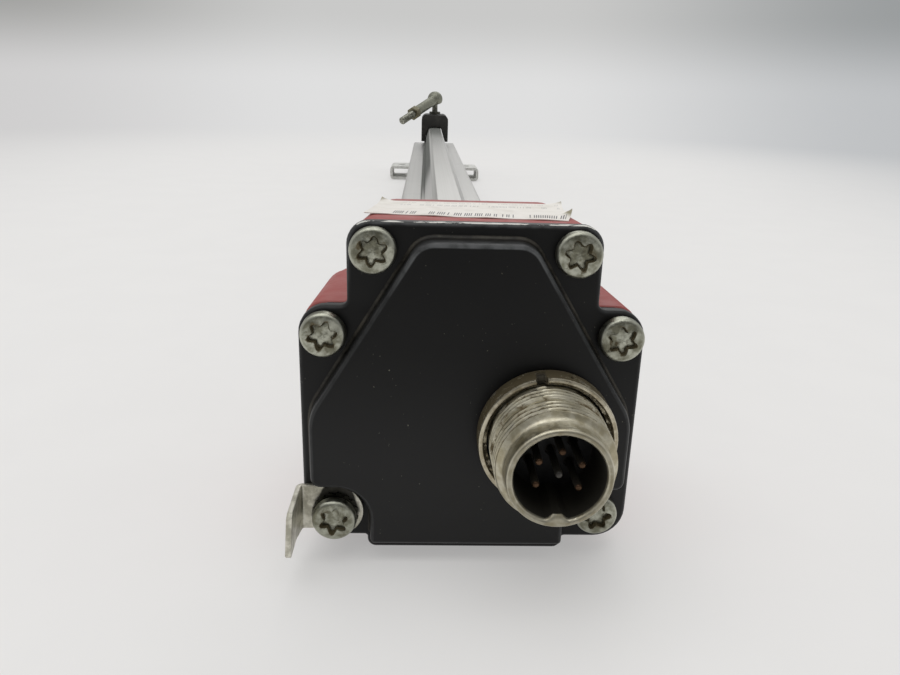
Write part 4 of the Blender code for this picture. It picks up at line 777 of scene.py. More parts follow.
def pan_head(turn_degrees):
    """A pan head 6.4 across and 2.0 high, from its seat to the middle of its recess.

    The rim is a quarter circle and the top a shallow dome. The recess's radius is its mean times one
    plus 0.2 times the cosine of six times the angle. Its floor is low under the walls and rises to
    the middle, where dirt is packed, with a ripple of a few hundredths.
    """
    angles = np.linspace(0, 2 * math.pi, 96, endpoint=False)
    turned = angles - math.radians(turn_degrees)
    lobes = 1 + 0.2 * np.cos(6 * turned) + 0.015 * np.sin(12 * turned)
    rim = np.linspace(0, math.pi / 2, 6)
    outer_r = np.concatenate([[2.9, 3.2], 2.55 + 0.65 * np.cos(rim)])
    outer_z = np.concatenate([[0.0, 0.25], 1.2 + 0.65 * np.sin(rim)])
    packed = np.array([1.55, 1.3, 1.0, 0.7, 0.35])
    radii = [np.full(96, r) for r in outer_r] + [1.88 * lobes, 1.8 * lobes, 1.76 * lobes, 1.68 * lobes]
    radii += [r * (1 + (lobes - 1) * (r / 1.6) ** 4) for r in packed] + [np.full(96, 0.04)]
    heights = list(outer_z) + [2.0, 1.93, 1.25, 1.15, 1.2, 1.26, 1.3, 1.32, 1.32, 1.32]
    radii, loop = np.stack(radii), np.arange(len(heights))
    ripple = 0.06 * np.sin(7 * radii + 3 * turned) * np.sin(2 * turned + 4 * radii)
    heights = np.array(heights)[:, None] + ripple * (loop > 11)[:, None] * (radii > 0.3)
    hollow = np.interp(loop, [7, 8, 9, 10, 11, 12, 13, 17], [0, 0.3, 0.6, 1.0, 0.8, 0.2, 0.1, 0.05])
    return rings(radii, heights, angles), by_loop(hollow, radii)


# Zinc-plated steel, gone dull: a greenish grey metal with brown dirt in its hollows.
zinc = metal(
    "zinc_plate", colour("b5b6a8"), colour("7a7969"), colour("5d543c"), 0.36, 0.17, depth=0.00006
)
# Each screw's name, its axis, the face that it seats on and how far its recess is turned.
on_flange, on_washer = -12.8, -14.8
screws = (
    ("top_left", -13.9, 46.8, on_flange, 21.0),
    ("top_right", 13.9, 46.8, on_flange, 48.0),
    ("shoulder_left", -20.8, 34.9, on_flange, 12.0),
    ("shoulder_right", 20.8, 34.9, on_flange, 38.0),
    ("lower_left", -19.6, 7.0, on_washer, 20.0),
    ("lower_right", 19.6, 7.0, on_flange, 6.0),
)
for name, x, z, seat, turned_by in screws:
    head, hollow = pan_head(turned_by)
    # The middle of the rim's curve is rubbed.
    pale_edge = np.zeros(head.shape[:2])
    pale_edge[3:6] = 1.0
    finished(
        "screw_" + name,
        facing_front(head, x, seat, z),
        zinc,
        "head",
        ["cover_screw_" + name],
        marks={"hollow": 0.4 * hollow, "pale_edge": pale_edge},
    )


# Earth tab
# A blade terminal stamped from tinned sheet, clamped under the lower left screw and bent to the front.
# A toothed washer bites into it under the screw's head.

# The spine runs leftward from under the screw, turns a quarter circle and runs to the front. The ring's
# half height is the circle's, root of 4.1 squared less the distance to the screw squared, and the tip
# is cut back at 45 degrees. The sheet is 0.8 thick, with rounded edges, and its blade leans outward.
screw_x, screw_z = -19.6, 7.0
sheet, sheet_y, blade_x, bend = 0.8, -13.2, -25.0, 0.7
turn = np.linspace(0, math.pi / 2, 8)
flat_x = np.linspace(-15.55, blade_x + bend, 40)
turn_x, turn_y = blade_x + bend * (1 - np.sin(turn[1:])), sheet_y - bend * (1 - np.cos(turn[1:]))
blade_y = np.concatenate([np.linspace(sheet_y - bend, -21.1, 14)[1:], np.linspace(-21.2, -21.8, 4)])
spine_x = np.concatenate([flat_x, turn_x, np.full(len(blade_y), blade_x)])
spine_y = np.concatenate([np.full(len(flat_x), sheet_y), turn_y, blade_y])
ahead = np.gradient(np.stack([spine_x, spine_y], axis=1), axis=0)
ahead /= np.linalg.norm(ahead, axis=1, keepdims=True)
sideways = np.stack([-ahead[:, 1], ahead[:, 0]], axis=1)
ring_half = np.sqrt(np.clip(4.1**2 - (spine_x - screw_x) ** 2, 0.09, None))
tip = 0.6 * np.clip((-21.2 - spine_y) / 0.6, 0, 1)
high = np.maximum(ring_half, np.interp(spine_x, [-21.3, -20.4], [4.2, 0.0])) - tip
low = np.where(spine_x < screw_x, np.maximum(ring_half, 3.0), ring_half) - tip
edge = rounded_outline([(-1, -1, 0.3), (1, -1, 0.3), (1, 1, 0.3), (-1, 1, 0.3)], 0.0, 3)
edge_s = np.sign(edge[:, 0]) * (1 - (1 - np.abs(edge[:, 0])) * 0.45)
reach = np.where(edge[:, 1] > 0, high[:, None], -low[:, None])
wide = reach - np.sign(edge[:, 1]) * (1 - np.abs(edge[:, 1])) * 0.4
thick = 0.5 * sheet * edge_s[None, :]
lean = 0.065 * (wide - 4.2) * np.clip((-13.6 - spine_y) / 3.0, 0, 1)[:, None]
tab_x = spine_x[:, None] + sideways[:, :1] * thick + lean
tab_y = spine_y[:, None] + sideways[:, 1:] * thick
tab = np.stack([tab_x, tab_y, screw_z + wide], axis=-1)


def grease_ring(tree, place):
    """Grease squeezed out round the screw: full to 4.1 mm from its axis and gone at 4.6 mm.

    Its rim is ragged and drawn in by 0.9 mm to the left and the right, and none is on the blade.
    """
    screw_axis = (screw_x / 1000, 0.0, screw_z / 1000)
    offset = add(tree, "VectorMath", {0: place, 1: screw_axis}, operation="SUBTRACT")
    flat = add(tree, "VectorMath", {0: offset, 1: (1.0, 0.0, 1.0)}, operation="MULTIPLY")
    away = add(tree, "VectorMath", {0: flat}, "Value", operation="LENGTH")
    ragged = add(tree, "MapRange", {
        "Value": add(tree, "TexNoise", {
            "Vector": place, "Scale": 700.0, "Detail": 3.0, "Roughness": 0.55,
        }),
        "From Min": 0.3, "From Max": 0.7, "To Min": -0.0002, "To Max": 0.0002,
    }, interpolation_type="SMOOTHSTEP")
    rim = add(tree, "Math", {
        0: add(tree, "MapRange", {
            "Value": add(tree, "SeparateXYZ", {0: place}, "X"),
            "From Min": -0.0174, "From Max": -0.0163, "To Max": 0.0009,
        }, interpolation_type="SMOOTHSTEP"),
        1: add(tree, "MapRange", {
            "Value": add(tree, "SeparateXYZ", {0: place}, "X"),
            "From Min": -0.0208, "From Max": -0.0226, "To Max": 0.0009,
        }, interpolation_type="SMOOTHSTEP"),
    }, operation="MAXIMUM")
    away = add(tree, "Math", {0: away, 1: ragged}, operation="ADD")
    away = add(tree, "Math", {0: away, 1: rim}, operation="ADD")
    near = add(tree, "MapRange", {
        "Value": away, "From Min": 0.0046, "From Max": 0.0041,
    }, interpolation_type="SMOOTHSTEP")
    return add(tree, "Math", {
        0: add(tree, "Math", {
            0: near,
            1: add(tree, "MapRange", {
                "Value": add(tree, "SeparateXYZ", {0: place}, "Y"),
                "From Min": -0.0141, "From Max": -0.0138,
            }, interpolation_type="SMOOTHSTEP"),
        }, operation="MULTIPLY"),
        1: 0.9,
    }, operation="MULTIPLY")


# Tinned brass sheet: a pale warm metal, satin and a little spotted.
tin = metal(
    "tinned_sheet",
    colour("e2dfd2"),
    colour("b5b2a3"),
    colour("5d5a40"),
    0.42,
    0.08,
    stain=grease_ring,
    bare=0.9,
)
finished("earth_tab", tab, tin, "head", ["ground_tab"])

# Sixteen teeth: the outer radius drops by 0.3 between them, and each is twisted by a sine of its angle.
angles = np.linspace(0, 2 * math.pi, 128, endpoint=False)
teeth, hole = 3.45 - 0.3 * (np.cos(16 * angles) > 0), np.full(128, 2.2)
twist = 0.12 * np.sin(16 * angles) * 0.6
foot, face = np.full(128, 0.05), np.full(128, 0.55)
washer = rings(
    np.stack([hole, teeth, teeth, hole]), np.stack([foot, 0.15 + twist, 0.5 + twist, face]), angles
)
# Blackened spring steel under oil: dark and dull.
dark_steel = metal("oiled_steel", colour("55544a"), colour("2f2f28"), colour("1a1913"), 0.5, 0.26)
finished(
    "toothed_washer",
    facing_front(washer, screw_x, -13.9, screw_z),
    dark_steel,
    "head",
    ["ground_lock_washer"],
    ring=True,
)


# Connector
# A turned nickel-plated brass inlet with an outside thread in two bands, a smooth mouth and a key nose.
# It is screwed through the cover and held by a slotted ring nut. The plating is worn off the crests.

axis_x, axis_z = 10.5, 21.6
# Nickel plating worn to the brass: a warm grey, brighter on the crests and brown with oil between them.
nickel = metal("worn_nickel", colour("c8c3b0"), colour("aba38a"), colour("62553a"), 0.4, 0.02)

# The thread's depth falls with a triangle wave of the height over the pitch less the angle over a turn.
# The key is a nose in the bore's wall, flat over 0.7 and gone at 1.4 from its middle.
pitch = 1.0
angles = np.linspace(0, 2 * math.pi, 120, endpoint=False)
reach_out = np.concatenate([np.arange(0.5, 11.3, 0.1), [11.5, 12.0, 13.0, 13.4, 13.6, 13.74, 13.84]])
body = np.interp(
    reach_out,
    [0.5, 6.2, 6.35, 7.05, 7.2, 10.35, 10.8, 11.0, 11.3, 12.0, 13.4, 13.6, 13.74, 13.84],
    [8.2, 8.2, 7.75, 7.75, 8.15, 8.1, 7.45, 7.2, 7.0, 6.9, 6.88, 6.84, 6.76, 6.64],
)
threaded = np.interp(reach_out, [6.2, 6.3, 7.1, 7.2, 10.2, 10.5], [1, 0, 0, 1, 1, 0])
phase = (reach_out[:, None] / pitch - angles / (2 * math.pi)) % 1
ridge = 1 - np.abs(2 * phase - 1)
groove = threaded[:, None] * (1 - np.clip(ridge * 1.6 - 0.3, 0, 1))
outside_r = body[:, None] - 0.42 * groove
crest = threaded[:, None] * np.clip(ridge * 1.8 - 0.8, 0, 1)
off_key = (angles + math.pi / 2 + math.pi) % (2 * math.pi) - math.pi
nose = 0.85 * np.clip((1.4 - np.abs(off_key) * 5.95) / 0.7, 0, 1)
bore_mean = np.array([6.5, 6.3, 6.15, 6.02, 5.95, 5.95, 5.95, 5.9])
key_share = np.array([0.0, 0.1, 0.5, 0.8, 1.0, 1.0, 1.0, 1.0])
bore_r = bore_mean[:, None] - key_share[:, None] * nose
bore_z = np.array([13.9, 13.88, 13.8, 13.65, 13.45, 13.2, 5.2, 5.0])
inner_r = np.concatenate([bore_r, [0.05 + 0 * angles]])
inner_z = np.concatenate([bore_z, [5.0]])
shell_r = np.concatenate([outside_r, inner_r])
shell_z = np.concatenate([reach_out, inner_z])
# Dirt fills the thread's grooves and the neck between the bands, and the crests are worn bright. The
# mouth's outer and inner rims carry a painted highlight, the middle of its lip is painted a little
# darker as shade, and the bore is painted black as shade from just inside the mouth.
groove[(reach_out > 6.0) & (reach_out < 7.2)] = 0.55
# Oil darkens the threaded bands, more towards the cover.
darkened = threaded * np.interp(reach_out, [6.0, 10.0], [0.5, 0.25])
dark = np.concatenate([np.maximum(groove, darkened[:, None]), np.zeros(inner_r.shape)])
mouth = len(reach_out)
bright = np.concatenate([crest, np.zeros(inner_r.shape)])
bright[mouth - 3 : mouth + 4] = np.array([0.3, 1.0, 0.3, 0.0, 0.0, 1.0, 0.2])[:, None]
# Painted shade: near black in the bore and on the key nose inside it, and a little on the lip's middle.
black = np.zeros(dark.shape)
black[-4:] = 1.0
black[-5] = np.clip(0.6 - nose, 0, 1)
black[mouth - 1 : mouth + 2] = 0.3
finished(
    "inlet_shell",
    facing_front(rings(shell_r, shell_z, angles), axis_x, panel_front, axis_z),
    nickel,
    "head",
    ["connector_shell"],
    marks={"hollow": 0.5 * dark, "pale_edge": bright, "shade_and_grease": black},
)

# The nut's top drops to 2.2 wherever the arc to one of its two notches is under 0.7.
angles = np.linspace(0, 2 * math.pi, 180, endpoint=False)
notch_at = np.array([math.radians(99.5), math.radians(279.5)])
away = np.abs((angles[:, None] - notch_at + math.pi) % (2 * math.pi) - math.pi).min(1) * 9.3
notched = away < 0.7
nut_r = [8.5, 9.3, 9.6, 9.7, 9.7, 9.6, 9.45, 9.1, 9.0, 8.95, 8.5]
nut_z = np.array([0.0, 0.0, 0.1, 0.35, 3.3, 3.52, 3.6, 3.6, 3.5, 2.8, 2.75])[:, None] + 0 * angles
nut_z = np.where(notched & (nut_z > 2.0), np.minimum(nut_z, 2.2), nut_z)
# Grime covers the nut's side and its inside, and both rims of its top are rubbed and carry a painted
# highlight. The floors of the notches are painted near black as shade.
grimy = np.zeros(nut_z.shape)
grimy[0:5] = 0.9
grimy[6:8] = 0.2
grimy[9:] = 0.8
in_notch = 0.85 * (notched & (nut_z < 2.25) & (nut_z > 2.15))
rim_wear_and_highlight = np.zeros(nut_z.shape)
rim_wear_and_highlight[5:9] = np.array([1.0, 0.4, 0.3, 0.8])[:, None]
# The same plating on the nut, which is handled more: greyer, glossier and brown at its foot.
grimy_nickel = metal("grimy_nickel", colour("cac3af"), colour("8d8269"), colour("483f28"), 0.33, 0.04)
finished(
    "ring_nut",
    facing_front(rings(nut_r, nut_z, angles), axis_x, panel_front - 0.3, axis_z),
    grimy_nickel,
    "head",
    ["connector_ring_nut"],
    ring=True,
    marks={"hollow": 0.44 * grimy, "pale_edge": rim_wear_and_highlight, "shade_and_grease": in_notch},
)

# Black nylon: near black with a soft gloss.
black_nylon = moulded("black_nylon", colour("101010"), colour("282723"), 0.5, 0.3, 900.0)
dress(black_nylon, "connector_insert")

# Thin gold plating, worn, and painted dark brown as shade deep in the bore. The middle pin's plating
# has dulled to grey.
shaded_gold = metal("gold_in_painted_shade", colour("5a4535"), colour("382a1f"), colour("231912"), 0.3, 0.0)
grey_pin = metal("dulled_pin", colour("6a6863"), colour("444240"), colour("2b2926"), 0.35, 0.0)
angles = np.linspace(0, 2 * math.pi, 24, endpoint=False)
tip = np.linspace(0, math.pi / 2, 6)
pin_r = np.concatenate([[0.5, 0.5], 0.15 + 0.35 * np.cos(tip[:-1]), [0.05]])
pin_z = np.concatenate([[-7.5, -0.35], -0.35 + 0.35 * np.sin(tip[:-1]), [0.0]])
# The pins' shafts are painted near black as shade, up to just below their rounded tips.
shadowed = np.interp(pin_z, [-0.36, -0.1], [0.97, 0.1])
pin_circle, pin_turn = 3.2, -4.0
pins = [("centre", 0.0, 0.0)]
for k, degrees in enumerate((90.0, 30.0, 330.0, 210.0, 150.0)):
    around = math.radians(degrees + pin_turn)
    pins.append((str(k + 1), pin_circle * math.cos(around), pin_circle * math.sin(around)))
for name, x, z in pins:
    pin = rings(pin_r, pin_z, angles)
    finished(
        "pin_" + name,
        facing_front(pin, axis_x + x, -28.7, axis_z + z),
        grey_pin if name == "centre" else shaded_gold,
        "head",
        ["contact_pin_" + name],
        marks={"shade_and_grease": by_loop(shadowed, pin)},
    )


# Label
# A white polyester film stuck on top of the housing, set a little askew, with its corners lifting.
# It carries only plain bars.


def label_film():
    """White polyester film: satin, with rows of short grey bars, and yellowed where it has lifted.

    A bar is the first half of a cell across the film, left out where the cell's random number is low.
    """
    made, tree, place = start_material("label_film")
    across = add(tree, "Attribute", {}, "Fac", attribute_name="across")
    deep = add(tree, "Attribute", {}, "Fac", attribute_name="deep")
    tone = add(tree, "Mix", {
        0: add(tree, "MapRange", {
            "Value": add(tree, "TexNoise", {
                "Vector": place, "Scale": 260.0, "Detail": 4.0, "Roughness": 0.55,
            }),
            "From Min": 0.4, "From Max": 0.7, "To Max": 0.5,
        }, interpolation_type="SMOOTHSTEP"),
        6: colour("e4e0d9"), 7: colour("cfc9bf"),
    }, 2, data_type="RGBA")
    rows = ((0.07, 0.24, 96.0, 0.95), (0.66, 0.76, 130.0, 0.4), (0.86, 0.93, 120.0, 0.25))
    print_rows = []
    for low, high, count, strength in rows:
        shared = add(tree, "Math", {
            0: add(tree, "Math", {0: across, 1: count}, operation="MULTIPLY"),
        }, operation="FRACT")
        inked = add(tree, "Math", {0: shared, 1: 0.5}, operation="LESS_THAN")
        for cells, least in ((count, 0.2), (count / 6, 0.2)):
            cell = add(tree, "Math", {
                0: add(tree, "Math", {0: across, 1: cells}, operation="MULTIPLY"),
            }, operation="FLOOR")
            chance = add(tree, "TexWhiteNoise", {"W": cell}, "Value", noise_dimensions="1D")
            inked = add(tree, "Math", {
                0: inked,
                1: add(tree, "Math", {0: chance, 1: least}, operation="GREATER_THAN"),
            }, operation="MULTIPLY")
        band = add(tree, "Math", {
            0: add(tree, "Math", {0: deep, 1: low}, operation="GREATER_THAN"),
            1: add(tree, "Math", {0: deep, 1: high}, operation="LESS_THAN"),
        }, operation="MULTIPLY")
        inside = add(tree, "Math", {
            0: add(tree, "MapRange", {
                "Value": across, "From Min": 0.12, "From Max": 0.13,
            }, interpolation_type="SMOOTHSTEP"),
            1: add(tree, "MapRange", {
                "Value": across, "From Min": 0.985, "From Max": 0.98,
            }, interpolation_type="SMOOTHSTEP"),
        }, operation="MULTIPLY")
        print_rows.append(
            add(tree, "Math", {
                0: add(tree, "Math", {
                    0: add(tree, "Math", {0: inked, 1: band}, operation="MULTIPLY"),
                    1: inside,
                }, operation="MULTIPLY"),
                1: strength,
            }, operation="MULTIPLY"),
        )
    ink = add(tree, "Math", {
        0: add(tree, "Math", {0: print_rows[0], 1: print_rows[1]}, operation="MAXIMUM"),
        1: print_rows[2],
    }, operation="MAXIMUM")
    tone = add(tree, "Mix", {0: ink, 6: tone, 7: colour("55565a")}, 2, data_type="RGBA")
    tone = add(tree, "Mix", {
        0: add(tree, "MapRange", {
            "Value": add(tree, "Attribute", {}, "Fac", attribute_name="lifted"),
            "From Min": 0.15, "From Max": 0.7, "To Max": 0.9,
        }, interpolation_type="SMOOTHSTEP"),
        6: tone, 7: colour("7f7857"),
    }, 2, data_type="RGBA")
    show(tree, {
        "Base Color": tone,
        "Roughness": add(tree, "MapRange", {
            "Value": add(tree, "TexNoise", {
                "Vector": place, "Scale": 500.0, "Detail": 3.0, "Roughness": 0.55,
            }),
            "From Min": 0.3, "From Max": 0.7, "To Min": 0.45, "To Max": 0.65,
        }, interpolation_type="SMOOTHSTEP"),
        "Specular IOR Level": 0.3,
        "Normal": add(tree, "Bump", {
            "Height": add(tree, "TexNoise", {
                "Vector": place, "Scale": 420.0, "Detail": 3.0, "Roughness": 0.55,
            }),
            "Distance": 0.00006,
        }),
    })
    return made


# The film is a four-cornered patch with u across it and v from its front edge to its rear one. Its
# front edge waves by a sine, its right edge bulges, and each corner lifts by a square.
u, v = np.meshgrid(np.linspace(0, 1, 90), np.linspace(0, 1, 30), indexing="ij")
front_left, front_right = np.array([-15.8, -4.0]), np.array([13.4, -6.8])
rear_left, rear_right = np.array([-13.9, 8.8]), np.array([15.0, 9.0])
flat = (
    (1 - u)[..., None] * ((1 - v)[..., None] * front_left + v[..., None] * rear_left)
    + u[..., None] * ((1 - v)[..., None] * front_right + v[..., None] * rear_right)
)
flat[..., 1] += 0.12 * np.sin(9 * u) * (1 - v)
flat[..., 0] += 0.9 * u**12 * np.clip(1 - np.abs(v - 0.3) / 0.3, 0, 1)
curl = (
    1.1 * np.clip(1 - (1 - u) * 14 - np.abs(v - 0.3) * 3.2, 0, 1) ** 2
    + 0.5 * np.clip(1 - (1 - u) * 10 - (1 - v) * 4.0, 0, 1) ** 2
    + 0.1 * np.clip(1 - u * 16 - v * 3.0, 0, 1) ** 2
    + 0.6 * np.clip(1 - u * 12 - (1 - v) * 3.0, 0, 1) ** 2
)
height = 50.13 + curl + 0.05 * np.sin(23 * u + 3 * v) * (1 - v) ** 2
film_thickness = 0.12
lifted = np.clip(curl / 0.8, 0, 1)
top = np.stack([flat[..., 0], flat[..., 1], height + film_thickness], axis=-1)
under = np.stack([flat[..., 0], flat[..., 1], height], axis=-1)


def two_faced(a, b):
    """A value on the film's top, followed by the one on its underside in reverse."""
    return np.concatenate([a, b[:, ::-1]], axis=1)


finished(
    "label",
    two_faced(top, under),
    label_film(),
    "head",
    marks={"across": two_faced(u, u), "deep": two_faced(v, v), "lifted": two_faced(lifted, lifted)},
)


# Head's rear
# A cast plate that the long screws pull the head to, with the rail screwed to it. It follows the
# housing's rear outline and is enamelled with it. The rail's far end is closed by a plain cast plate.


def eased(width, *names):
    """Breaks the sharp edges of the frame's own solids."""
    for name in names:
        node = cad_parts[name]
        weld = node.modifiers.new("weld", "WELD")
        weld.merge_threshold = 0.000005
        bevel = node.modifiers.new("bevel", "BEVEL")
        bevel.width = width
        bevel.segments = 2
        bevel.limit_method = "ANGLE"
        bevel.angle_limit = math.radians(40)
        bevel.harden_normals = False


# Zinc die casting, bare: light grey and matt.
cast = metal("cast_alloy", colour("a4a4a2"), colour("939391"), colour("6d6d67"), 0.5, 0.0)
plate_edge = 0.5
along, insets = rolled(13.9, 17.9, plate_edge)
plate = carried(both_sides(housing_rear), along, insets + rear_inset, 8)
finished(
    "rear_plate",
    plate,
    red_enamel,
    "head",
    ["rear_flange"],
    marks={"pale_edge": by_loop(insets / plate_edge, plate)},
)
dress(cast, "rail_end_cap")
eased(0.0003, "rail_end_cap")
dress(zinc, "end_cap_screw_left", "end_cap_screw_right", "rail_screw_left", "rail_screw_right")


# Inside the head
# Two boards on steel pillars, and the pickup at the end of the sensing wire.


def laminate(name):
    """Green solder mask on glass laminate: a faint weave of 0.5 mm, and paler copper areas of 3 mm."""
    made, tree, place = start_material(name)
    weave = add(tree, "TexWave", {"Vector": place, "Scale": 700.0, "Distortion": 1.0}, "Fac")
    areas = add(tree, "MapRange", {
        "Value": add(tree, "TexNoise", {
            "Vector": place, "Scale": 350.0, "Detail": 0.0, "Roughness": 0.55,
        }),
        "From Min": 0.5, "From Max": 0.53,
    }, interpolation_type="SMOOTHSTEP")
    tone = add(tree, "Mix", {
        0: add(tree, "Math", {0: areas, 1: 0.5}, operation="MULTIPLY"),
        6: colour("1e5a34"), 7: colour("2f7a48"),
    }, 2, data_type="RGBA")
    tone = add(tree, "Mix", {
        0: add(tree, "Math", {0: weave, 1: 0.15}, operation="MULTIPLY"),
        6: tone, 7: colour("143f25"),
    }, 2, data_type="RGBA")
    show(tree, {
        "Base Color": tone, "Roughness": 0.4,
        "Normal": add(tree, "Bump", {"Height": weave, "Distance": 0.00001}),
    })
    return made


dress(laminate("solder_mask"), "connector_board", "main_board")
dress(black_nylon, "board_link", "signal_processor")
# Nickel-plated steel: bright and clean.
pillar_steel = metal("pillar_steel", colour("b4b4b2"), colour("8a8a88"), colour("55554f"), 0.35, 0.0)
dress(pillar_steel, "supply_capacitor")
dress(pillar_steel, *("board_standoff_%d" % k for k in range(1, 5)))
dress(pillar_steel, *("board_screw_%d" % k for k in range(1, 5)))
# Enamelled copper wire, wound turn by turn.
copper = metal(
    "copper_wire", colour("c07a4c"), colour("8f5530"), colour("4c3020"), 0.35, 0.0, (1.0, 6.0, 1.0)
)
dress(copper, "pickup_coil", "return_wire")
# Drawn nickel-iron wire: bright, with lines along it.
wire_steel = metal(
    "spring_wire", colour("c4c4c2"), colour("9c9c9a"), colour("6b6b66"), 0.3, 0.0, (1.0, 0.05, 1.0)
)
dress(wire_steel, "waveguide_wire")
# Natural acetal: an off-white with a soft gloss.
white_plastic = moulded("white_plastic", colour("dedcd6"), colour("c9c6bd"), 0.45, 0.4, 700.0)
dress(white_plastic, "waveguide_tube")
dress(black_rubber, "damping_sleeve")
dress(cast, "pickup_bracket")
# Sintered ferrite: dark grey and matt, with a fine grain.
ferrite = moulded("ferrite", colour("3a3a3c"), colour("55555a"), 0.6, 0.4, 2200.0)
dress(ferrite, "bias_magnet", "position_magnet")


# Rail
# One aluminium extrusion with a raised guide on its deck, anodised in natural colour. The die has left
# fine lines along it. A painted reflection of the black slider darkens the guide's left flank, and a
# painted shade darkens the guide's top, most of all near the slider.


def anodised_finish():
    """Satin natural anodising: a soft silver with lines along it in tone, gloss and height.

    The die's lines are 0.4 mm apart, coarser than the real ones, so that they show. Broad streaks of
    2 mm and smudges of 2 cm lie over them. The guide's top is painted darker as shade. The painted
    reflection of the slider on the left flank and its painted shade on the top hide the metal and its
    gloss.
    """
    made, tree, place = start_material("natural_anodised")
    lines = add(tree, "TexNoise", {
        "Vector": add(tree, "Mapping", {"Vector": place, "Scale": (2600.0, 9.0, 2600.0)}),
        "Scale": 1.0, "Detail": 4.0, "Roughness": 0.6,
    })
    broad = add(tree, "TexNoise", {
        "Vector": add(tree, "Mapping", {"Vector": place, "Scale": (420.0, 3.0, 420.0)}),
        "Scale": 1.0, "Detail": 2.0, "Roughness": 0.55,
    })
    tone = add(tree, "Mix", {
        0: add(tree, "MapRange", {
            "Value": lines, "From Min": 0.3, "From Max": 0.7,
        }, interpolation_type="SMOOTHSTEP"),
        6: colour("bebdba"), 7: colour("cac9c6"),
    }, 2, data_type="RGBA")
    tone = add(tree, "Mix", {
        0: add(tree, "MapRange", {
            "Value": broad, "From Min": 0.35, "From Max": 0.65, "To Max": 0.3,
        }, interpolation_type="SMOOTHSTEP"),
        6: tone, 7: colour("b3b2ae"),
    }, 2, data_type="RGBA")
    smudges = add(tree, "MapRange", {
        "Value": add(tree, "TexNoise", {
            "Vector": place, "Scale": 45.0, "Detail": 5.0, "Roughness": 0.65,
        }),
        "From Min": 0.55, "From Max": 0.75, "To Max": 0.25,
    }, interpolation_type="SMOOTHSTEP")
    tone = add(tree, "Mix", {0: smudges, 6: tone, 7: colour("9d9c98")}, 2, data_type="RGBA")
    # Painted reflection of the black slider on the guide's left flank, growing towards the far end.
    flank = add(tree, "Math", {
        0: add(tree, "Math", {
            0: add(tree, "MapRange", {
                "Value": add(tree, "SeparateXYZ", {0: place}, "X"),
                "From Min": -0.0044, "From Max": -0.0051,
            }, interpolation_type="SMOOTHSTEP"),
            1: add(tree, "MapRange", {
                "Value": add(tree, "SeparateXYZ", {0: place}, "X"),
                "From Min": -0.0094, "From Max": -0.0086,
            }, interpolation_type="SMOOTHSTEP"),
        }, operation="MULTIPLY"),
        1: add(tree, "MapRange", {
            "Value": add(tree, "SeparateXYZ", {0: place}, "Z"),
            "From Min": 0.0218, "From Max": 0.0226,
        }, interpolation_type="SMOOTHSTEP"),
    }, operation="MULTIPLY")
    darkened = add(tree, "Math", {
        0: flank,
        1: add(tree, "MapRange", {
            "Value": add(tree, "SeparateXYZ", {0: place}, "Y"),
            "From Min": 0.13, "From Max": 0.25, "To Max": 0.85,
        }, interpolation_type="SMOOTHSTEP"),
    }, operation="MULTIPLY")
    # The guide's top is painted half way to a darker grey as shade, and near the slider darker still.
    crest = add(tree, "MapRange", {
        "Value": add(tree, "SeparateXYZ", {0: place}, "Z"),
        "From Min": 0.0366, "From Max": 0.037,
    }, interpolation_type="SMOOTHSTEP")
    tone = add(tree, "Mix", {
        0: add(tree, "Math", {0: crest, 1: 0.5}, operation="MULTIPLY"),
        6: tone, 7: colour("9f9e9a"),
    }, 2, data_type="RGBA")
    darkened = add(tree, "Math", {
        0: darkened,
        1: add(tree, "Math", {
            0: crest,
            1: add(tree, "MapRange", {
                "Value": add(tree, "SeparateXYZ", {0: place}, "Y"),
                "From Min": 0.27, "From Max": 0.48, "To Max": 0.85,
            }, interpolation_type="SMOOTHSTEP"),
        }, operation="MULTIPLY"),
    }, operation="MAXIMUM")
    tone = add(tree, "Mix", {0: darkened, 6: tone, 7: colour("50534f")}, 2, data_type="RGBA")
    show(tree, {
        "Base Color": tone,
        "Metallic": add(tree, "MapRange", {
            "Value": darkened, "From Min": 0.0, "From Max": 1.0, "To Min": 0.75, "To Max": 0.0,
        }, interpolation_type="SMOOTHSTEP"),
        "Specular IOR Level": add(tree, "MapRange", {
            "Value": darkened, "From Min": 0.0, "From Max": 0.8, "To Min": 0.5, "To Max": 0.05,
        }, interpolation_type="SMOOTHSTEP"),
        "Roughness": add(tree, "Math", {
            0: add(tree, "MapRange", {
                "Value": lines, "From Min": 0.3, "From Max": 0.7, "To Min": 0.3, "To Max": 0.42,
            }, interpolation_type="SMOOTHSTEP"),
            1: add(tree, "Math", {0: darkened, 1: 0.9}, operation="MULTIPLY"),
        }, operation="MAXIMUM"),
        "Normal": add(tree, "Bump", {"Height": lines, "Distance": 0.00001}),
    })
    return made


rail_half = [
    (17.2, 2.3, 1.0), (17.2, 7.7, 0.3), (14.2, 7.7, 0.2), (14.2, 10.3, 0.2), (17.2, 10.3, 0.3),
    (17.2, 22.5, 1.2), (8.3, 22.5, 0.5), (8.3, 25.8, 0.4), (5.7, 25.8, 0.2), (5.7, 28.6, 0.2),
    (7.1, 28.6, 0.4), (4.8, 36.2, 0.5), (3.4, 37.2, 0.4),
]
anodised = anodised_finish()
rail_front, rail_back = 18.2, 553.2
along, insets = rolled(rail_front, rail_back, 0.15, 2)
finished(
    "rail",
    carried(both_sides(rail_half), along, insets, 5),
    anodised,
    "head",
    ["profile_rail"],
)


# Clamp
# A bracket folded from 2 mm steel sheet that grips the rail's side grooves, with a hole in each wing.

# Steel, zinc-plated and passivated: a pale, even, satin grey.
plated = metal(
    "passivated_zinc", colour("dededa"), colour("c6c6c1"), colour("8a8982"), 0.5, 0.0, bare=0.45
)
dress(plated, "mounting_clamp")
eased(0.0003, "mounting_clamp")


